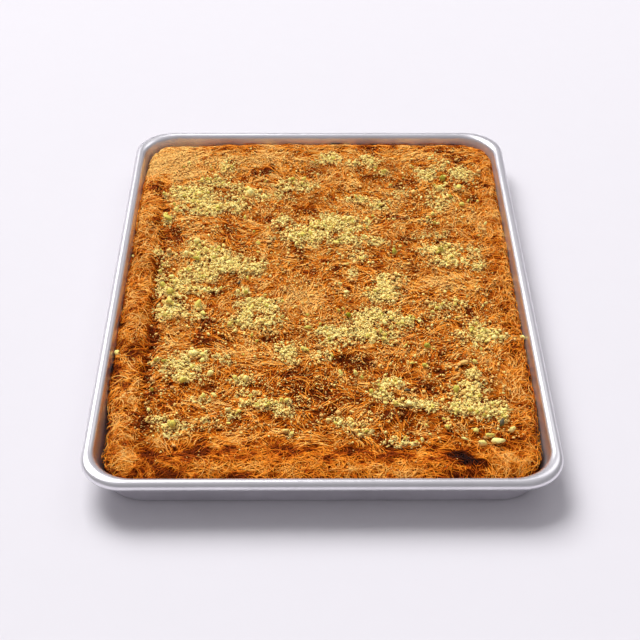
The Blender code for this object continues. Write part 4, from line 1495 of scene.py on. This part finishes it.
def sprinkle_map(margin=0.004, left_end=-0.134, right_end=0.146, near_end=-0.186, patch=0.03):
    """Where single crumbs lie: all over the middle, fewer near the edges and on the bands."""
    x, y = MAP_PLACES
    inside = rise(edge_distance(x, y), margin, 0.020)
    left, right = rise(x, left_end, 0.008), rise(-x, -right_end, 0.012, least=0.1)
    near = rise(y, near_end, 0.016, least=0.06)
    return inside * (left * near) * right * (0.5 + 0.5 * rise(noise_map(patch, 61.0), -0.4, 1.0))


def soaked_tints(draw, x, y, spread, middle=0.26, drier=0.18):
    """Tints of grains and crumbs: soaked where they lie singly, drier and paler in the drifts."""
    tints = draw.normal(middle, spread, len(x)) + drier * surveyed("cover", x, y)
    return np.clip(tints, 0.1, 0.7)


def scatter_powder(draw, nuts, maps, in_drifts=0.6, singly=0.24, lifts=(-0.0001, 0.0005)):
    """Grains of powder: x, y, lift, sizes and tints."""
    weights = in_drifts * maps["powder"] + in_drifts * maps["cover"] + singly * sprinkle_map()
    x, y = scatter_by(draw, weights, nuts.grains)
    lift = surveyed("heap", x, y) + draw.uniform(*lifts, len(x))
    sizes = nuts.grain * draw.lognormal(-0.14, 0.38, len(x))
    return x, y, lift, sizes, soaked_tints(draw, x, y, spread=0.07)


def scatter_crumbs(draw, nuts, maps, singly=0.62, in_drifts=0.80, on_powder=0.40, lift=0.0002, sunk=0.28):
    """Single crumbs, larger in the drifts: x, y, lift, sizes and tints."""
    weights = sprinkle_map() * singly + maps["cover"] * in_drifts + maps["powder"] * on_powder
    x, y = scatter_by(draw, weights, nuts.crumbs)
    sizes = nuts.crumb * draw.lognormal(-0.32, 0.42, len(x)) * (0.80 + 0.20 * surveyed("cover", x, y))
    lift = lift + sunk * sizes + surveyed("heap", x, y)
    return x, y, lift, sizes, soaked_tints(draw, x, y, spread=0.09)


def scatter_pieces(
    draw, nuts, maps, singly=0.12, lengths=(0.0024, 0.0038), greenest=0.8, stouter=1.15, on_heap=0.8,
    sunk=0.24,
):
    """The largest pieces where they lie, and small ones: x, y, lift, sizes and tints."""
    x, y = scatter_by(draw, sprinkle_map() * singly + maps["powder"], nuts.pieces)
    sizes, green = draw.uniform(*lengths, len(x)), draw.beta(1.4, 3.0, len(x)) * greenest
    x, y, sizes, green = np.concatenate([BIG_NUTS, np.stack([x, y, sizes, green], axis=1)]).T
    in_gap = edge_distance(x, y) < 0.0025
    lift = on_heap * surveyed("heap", x, y) + np.where(in_gap, -0.0010, 0.0006) + sunk * sizes
    return x, y, lift, stouter * sizes, 0.54 + 0.30 * green


# Sizes of nut: name, what scatters them, what models them, seeds of the models, flatness, seed
NUT_LAYERS = (
    ("pistachio_powder", scatter_powder, model_grain, (1, 2, 3), 0.45, 201),
    ("pistachio_crumbs", scatter_crumbs, model_crumb, (4, 5, 6), 0.6, 202),
    ("pistachio_pieces", scatter_pieces, model_chunk, (7, 8, 9, 10, 11), 0.3, 203),
)


class KUNAFA_OT_add_nuts(bpy.types.Operator):
    """Add the ground pistachio: powder, crumbs and larger pieces"""

    bl_idname = "kunafa.add_nuts"
    bl_label = "Pistachio"

    def execute(self, context):
        for name, scatter, model, model_seeds, flat, seed in NUT_LAYERS:
            draw = np.random.default_rng(seed)
            x, y, lift, sizes, tints = scatter(draw, settings("kunafa_nuts"), survey())
            places = np.stack([x, y, surveyed("height", x, y) + lift], axis=1)
            shapes = [model(model_seed) for model_seed in model_seeds]
            groups = place_copies(draw, shapes, places, sizes, flat, tints)
            piece = join_copies(name, groups, "tint", smooth=False)
            finish_piece(piece, name, nut_material())
        return {"FINISHED"}


# Floor, light and camera


def model_floor(size=14.0, height=2.5, curve=1.0):
    """A sheet of paper that runs back and curves up."""
    start_modelling()
    bpy.ops.mesh.primitive_plane_add(size=size)
    piece = bpy.context.object
    back = 0.49 * size
    edit("EDGE")
    pick(piece, "edges", lambda edge: all(vert.co.y > back for vert in edge.verts))
    bpy.ops.mesh.extrude_edges_indiv()
    bpy.ops.transform.translate(value=(0.0, 0.0, height))
    pick(piece, "edges", lambda edge: all(vert.co.y > back and vert.co.z < 0.1 for vert in edge.verts))
    bpy.ops.mesh.bevel(offset=curve, segments=16)
    bpy.ops.object.mode_set(mode="OBJECT")
    bpy.ops.object.shade_smooth()
    return piece


def add_light(name, place, size, power):
    """A soft rectangular light that faces the tray."""
    start_modelling()
    turn = (-Vector(place)).to_track_quat("-Z", "Y").to_euler()
    bpy.ops.object.light_add(type="AREA", location=place, rotation=turn)
    lamp = bpy.context.object
    lamp.name = name
    lamp.data.shape = "RECTANGLE"
    lamp.data.size, lamp.data.size_y = size
    lamp.data.energy = power
    return lamp


def light_room(stage):
    """Pale light from all round, strongest from above and behind."""
    world = bpy.data.worlds.new("room")
    world.use_nodes = True
    nodes = Nodes(world.node_tree)
    direction = nodes.add("ShaderNodeTexCoord").outputs["Generated"]
    parts = nodes.add("ShaderNodeSeparateXYZ", links={"Vector": direction}).outputs
    height = nodes.math("MULTIPLY_ADD", parts["Y"], 0.35, parts["Z"])
    height = nodes.math("MULTIPLY_ADD", parts["X"], -0.10, height)
    values = {"From Min": 0.35, "From Max": 1.0, "To Min": stage.room, "To Max": stage.ceiling}
    share = nodes.add("ShaderNodeMapRange", values, {"Value": height}, interpolation_type="SMOOTHSTEP")
    background = world.node_tree.nodes["Background"]
    background.inputs["Color"].default_value = (*linear(246, 244, 249), 1.0)
    nodes.feed(background, {"Strength": share.outputs["Result"]})
    bpy.context.scene.world = world


class KUNAFA_OT_add_stage(bpy.types.Operator):
    """Add the floor, the lights and the camera"""

    bl_idname = "kunafa.add_stage"
    bl_label = "Stage"

    def execute(self, context):
        stage = settings("kunafa_stage")
        floor = model_floor()
        floor.name = "paper_floor"
        floor.data.materials.append(floor_material())
        key = add_light("key_light", (-3.8, 7.6, 10.2), (7.6, 8.0), stage.key_power)
        key.visible_glossy = False
        sheen = add_light("sheen_light", (-6.0, 5.6, 9.6), (9.4, 9.4), stage.sheen_power)
        sheen.visible_diffuse = False
        add_light("back_light", (5.2, 6.6, 8.6), (5.4, 4.6), stage.back_power)
        light_room(stage)
        start_modelling()
        bpy.ops.object.camera_add(location=stage.camera_place, rotation=stage.camera_turn)
        camera = bpy.context.object
        camera.name = "photo_camera"
        camera.data.lens = stage.lens
        camera.data.sensor_width = 36.0
        camera.data.dof.use_dof = False
        context.scene.camera = camera
        context.scene.view_settings.view_transform = "Standard"
        return {"FINISHED"}


class KUNAFA_PT_panel(bpy.types.Panel):
    """The pieces and their settings, in the sidebar"""

    bl_label = "Kunafa"
    bl_idname = "KUNAFA_PT_panel"
    bl_space_type = "VIEW_3D"
    bl_region_type = "UI"
    bl_category = "Kunafa"

    def draw(self, context):
        for operator in OPERATORS:
            self.layout.operator(operator.bl_idname)
        for name, _ in GROUPS:
            box = self.layout.box()
            group = getattr(context.scene, name)
            for setting in type(group).__annotations__:
                box.prop(group, setting)


GROUPS = (
    ("kunafa_tray", TraySettings),
    ("kunafa_pastry", PastrySettings),
    ("kunafa_nuts", NutSettings),
    ("kunafa_stage", StageSettings),
)
OPERATORS = (
    KUNAFA_OT_add_stage,
    KUNAFA_OT_add_tray,
    KUNAFA_OT_add_bed,
    KUNAFA_OT_add_shreds,
    KUNAFA_OT_add_nuts,
)


def register():
    """Make the settings, the operators and the panel known."""
    for name, group in GROUPS:
        bpy.utils.register_class(group)
        setattr(bpy.types.Scene, name, PointerProperty(type=group))
    for item in (*OPERATORS, KUNAFA_PT_panel):
        bpy.utils.register_class(item)


def unregister():
    """Take them away again."""
    for item in reversed((*OPERATORS, KUNAFA_PT_panel)):
        bpy.utils.unregister_class(item)
    for name, group in reversed(GROUPS):
        delattr(bpy.types.Scene, name)
        bpy.utils.unregister_class(group)


def main():
    """Add every piece."""
    register()
    bpy.ops.kunafa.add_stage()
    bpy.ops.kunafa.add_tray()
    bpy.ops.kunafa.add_bed()
    bpy.ops.kunafa.add_shreds()
    bpy.ops.kunafa.add_nuts()


if __name__ == "__main__":
    main()
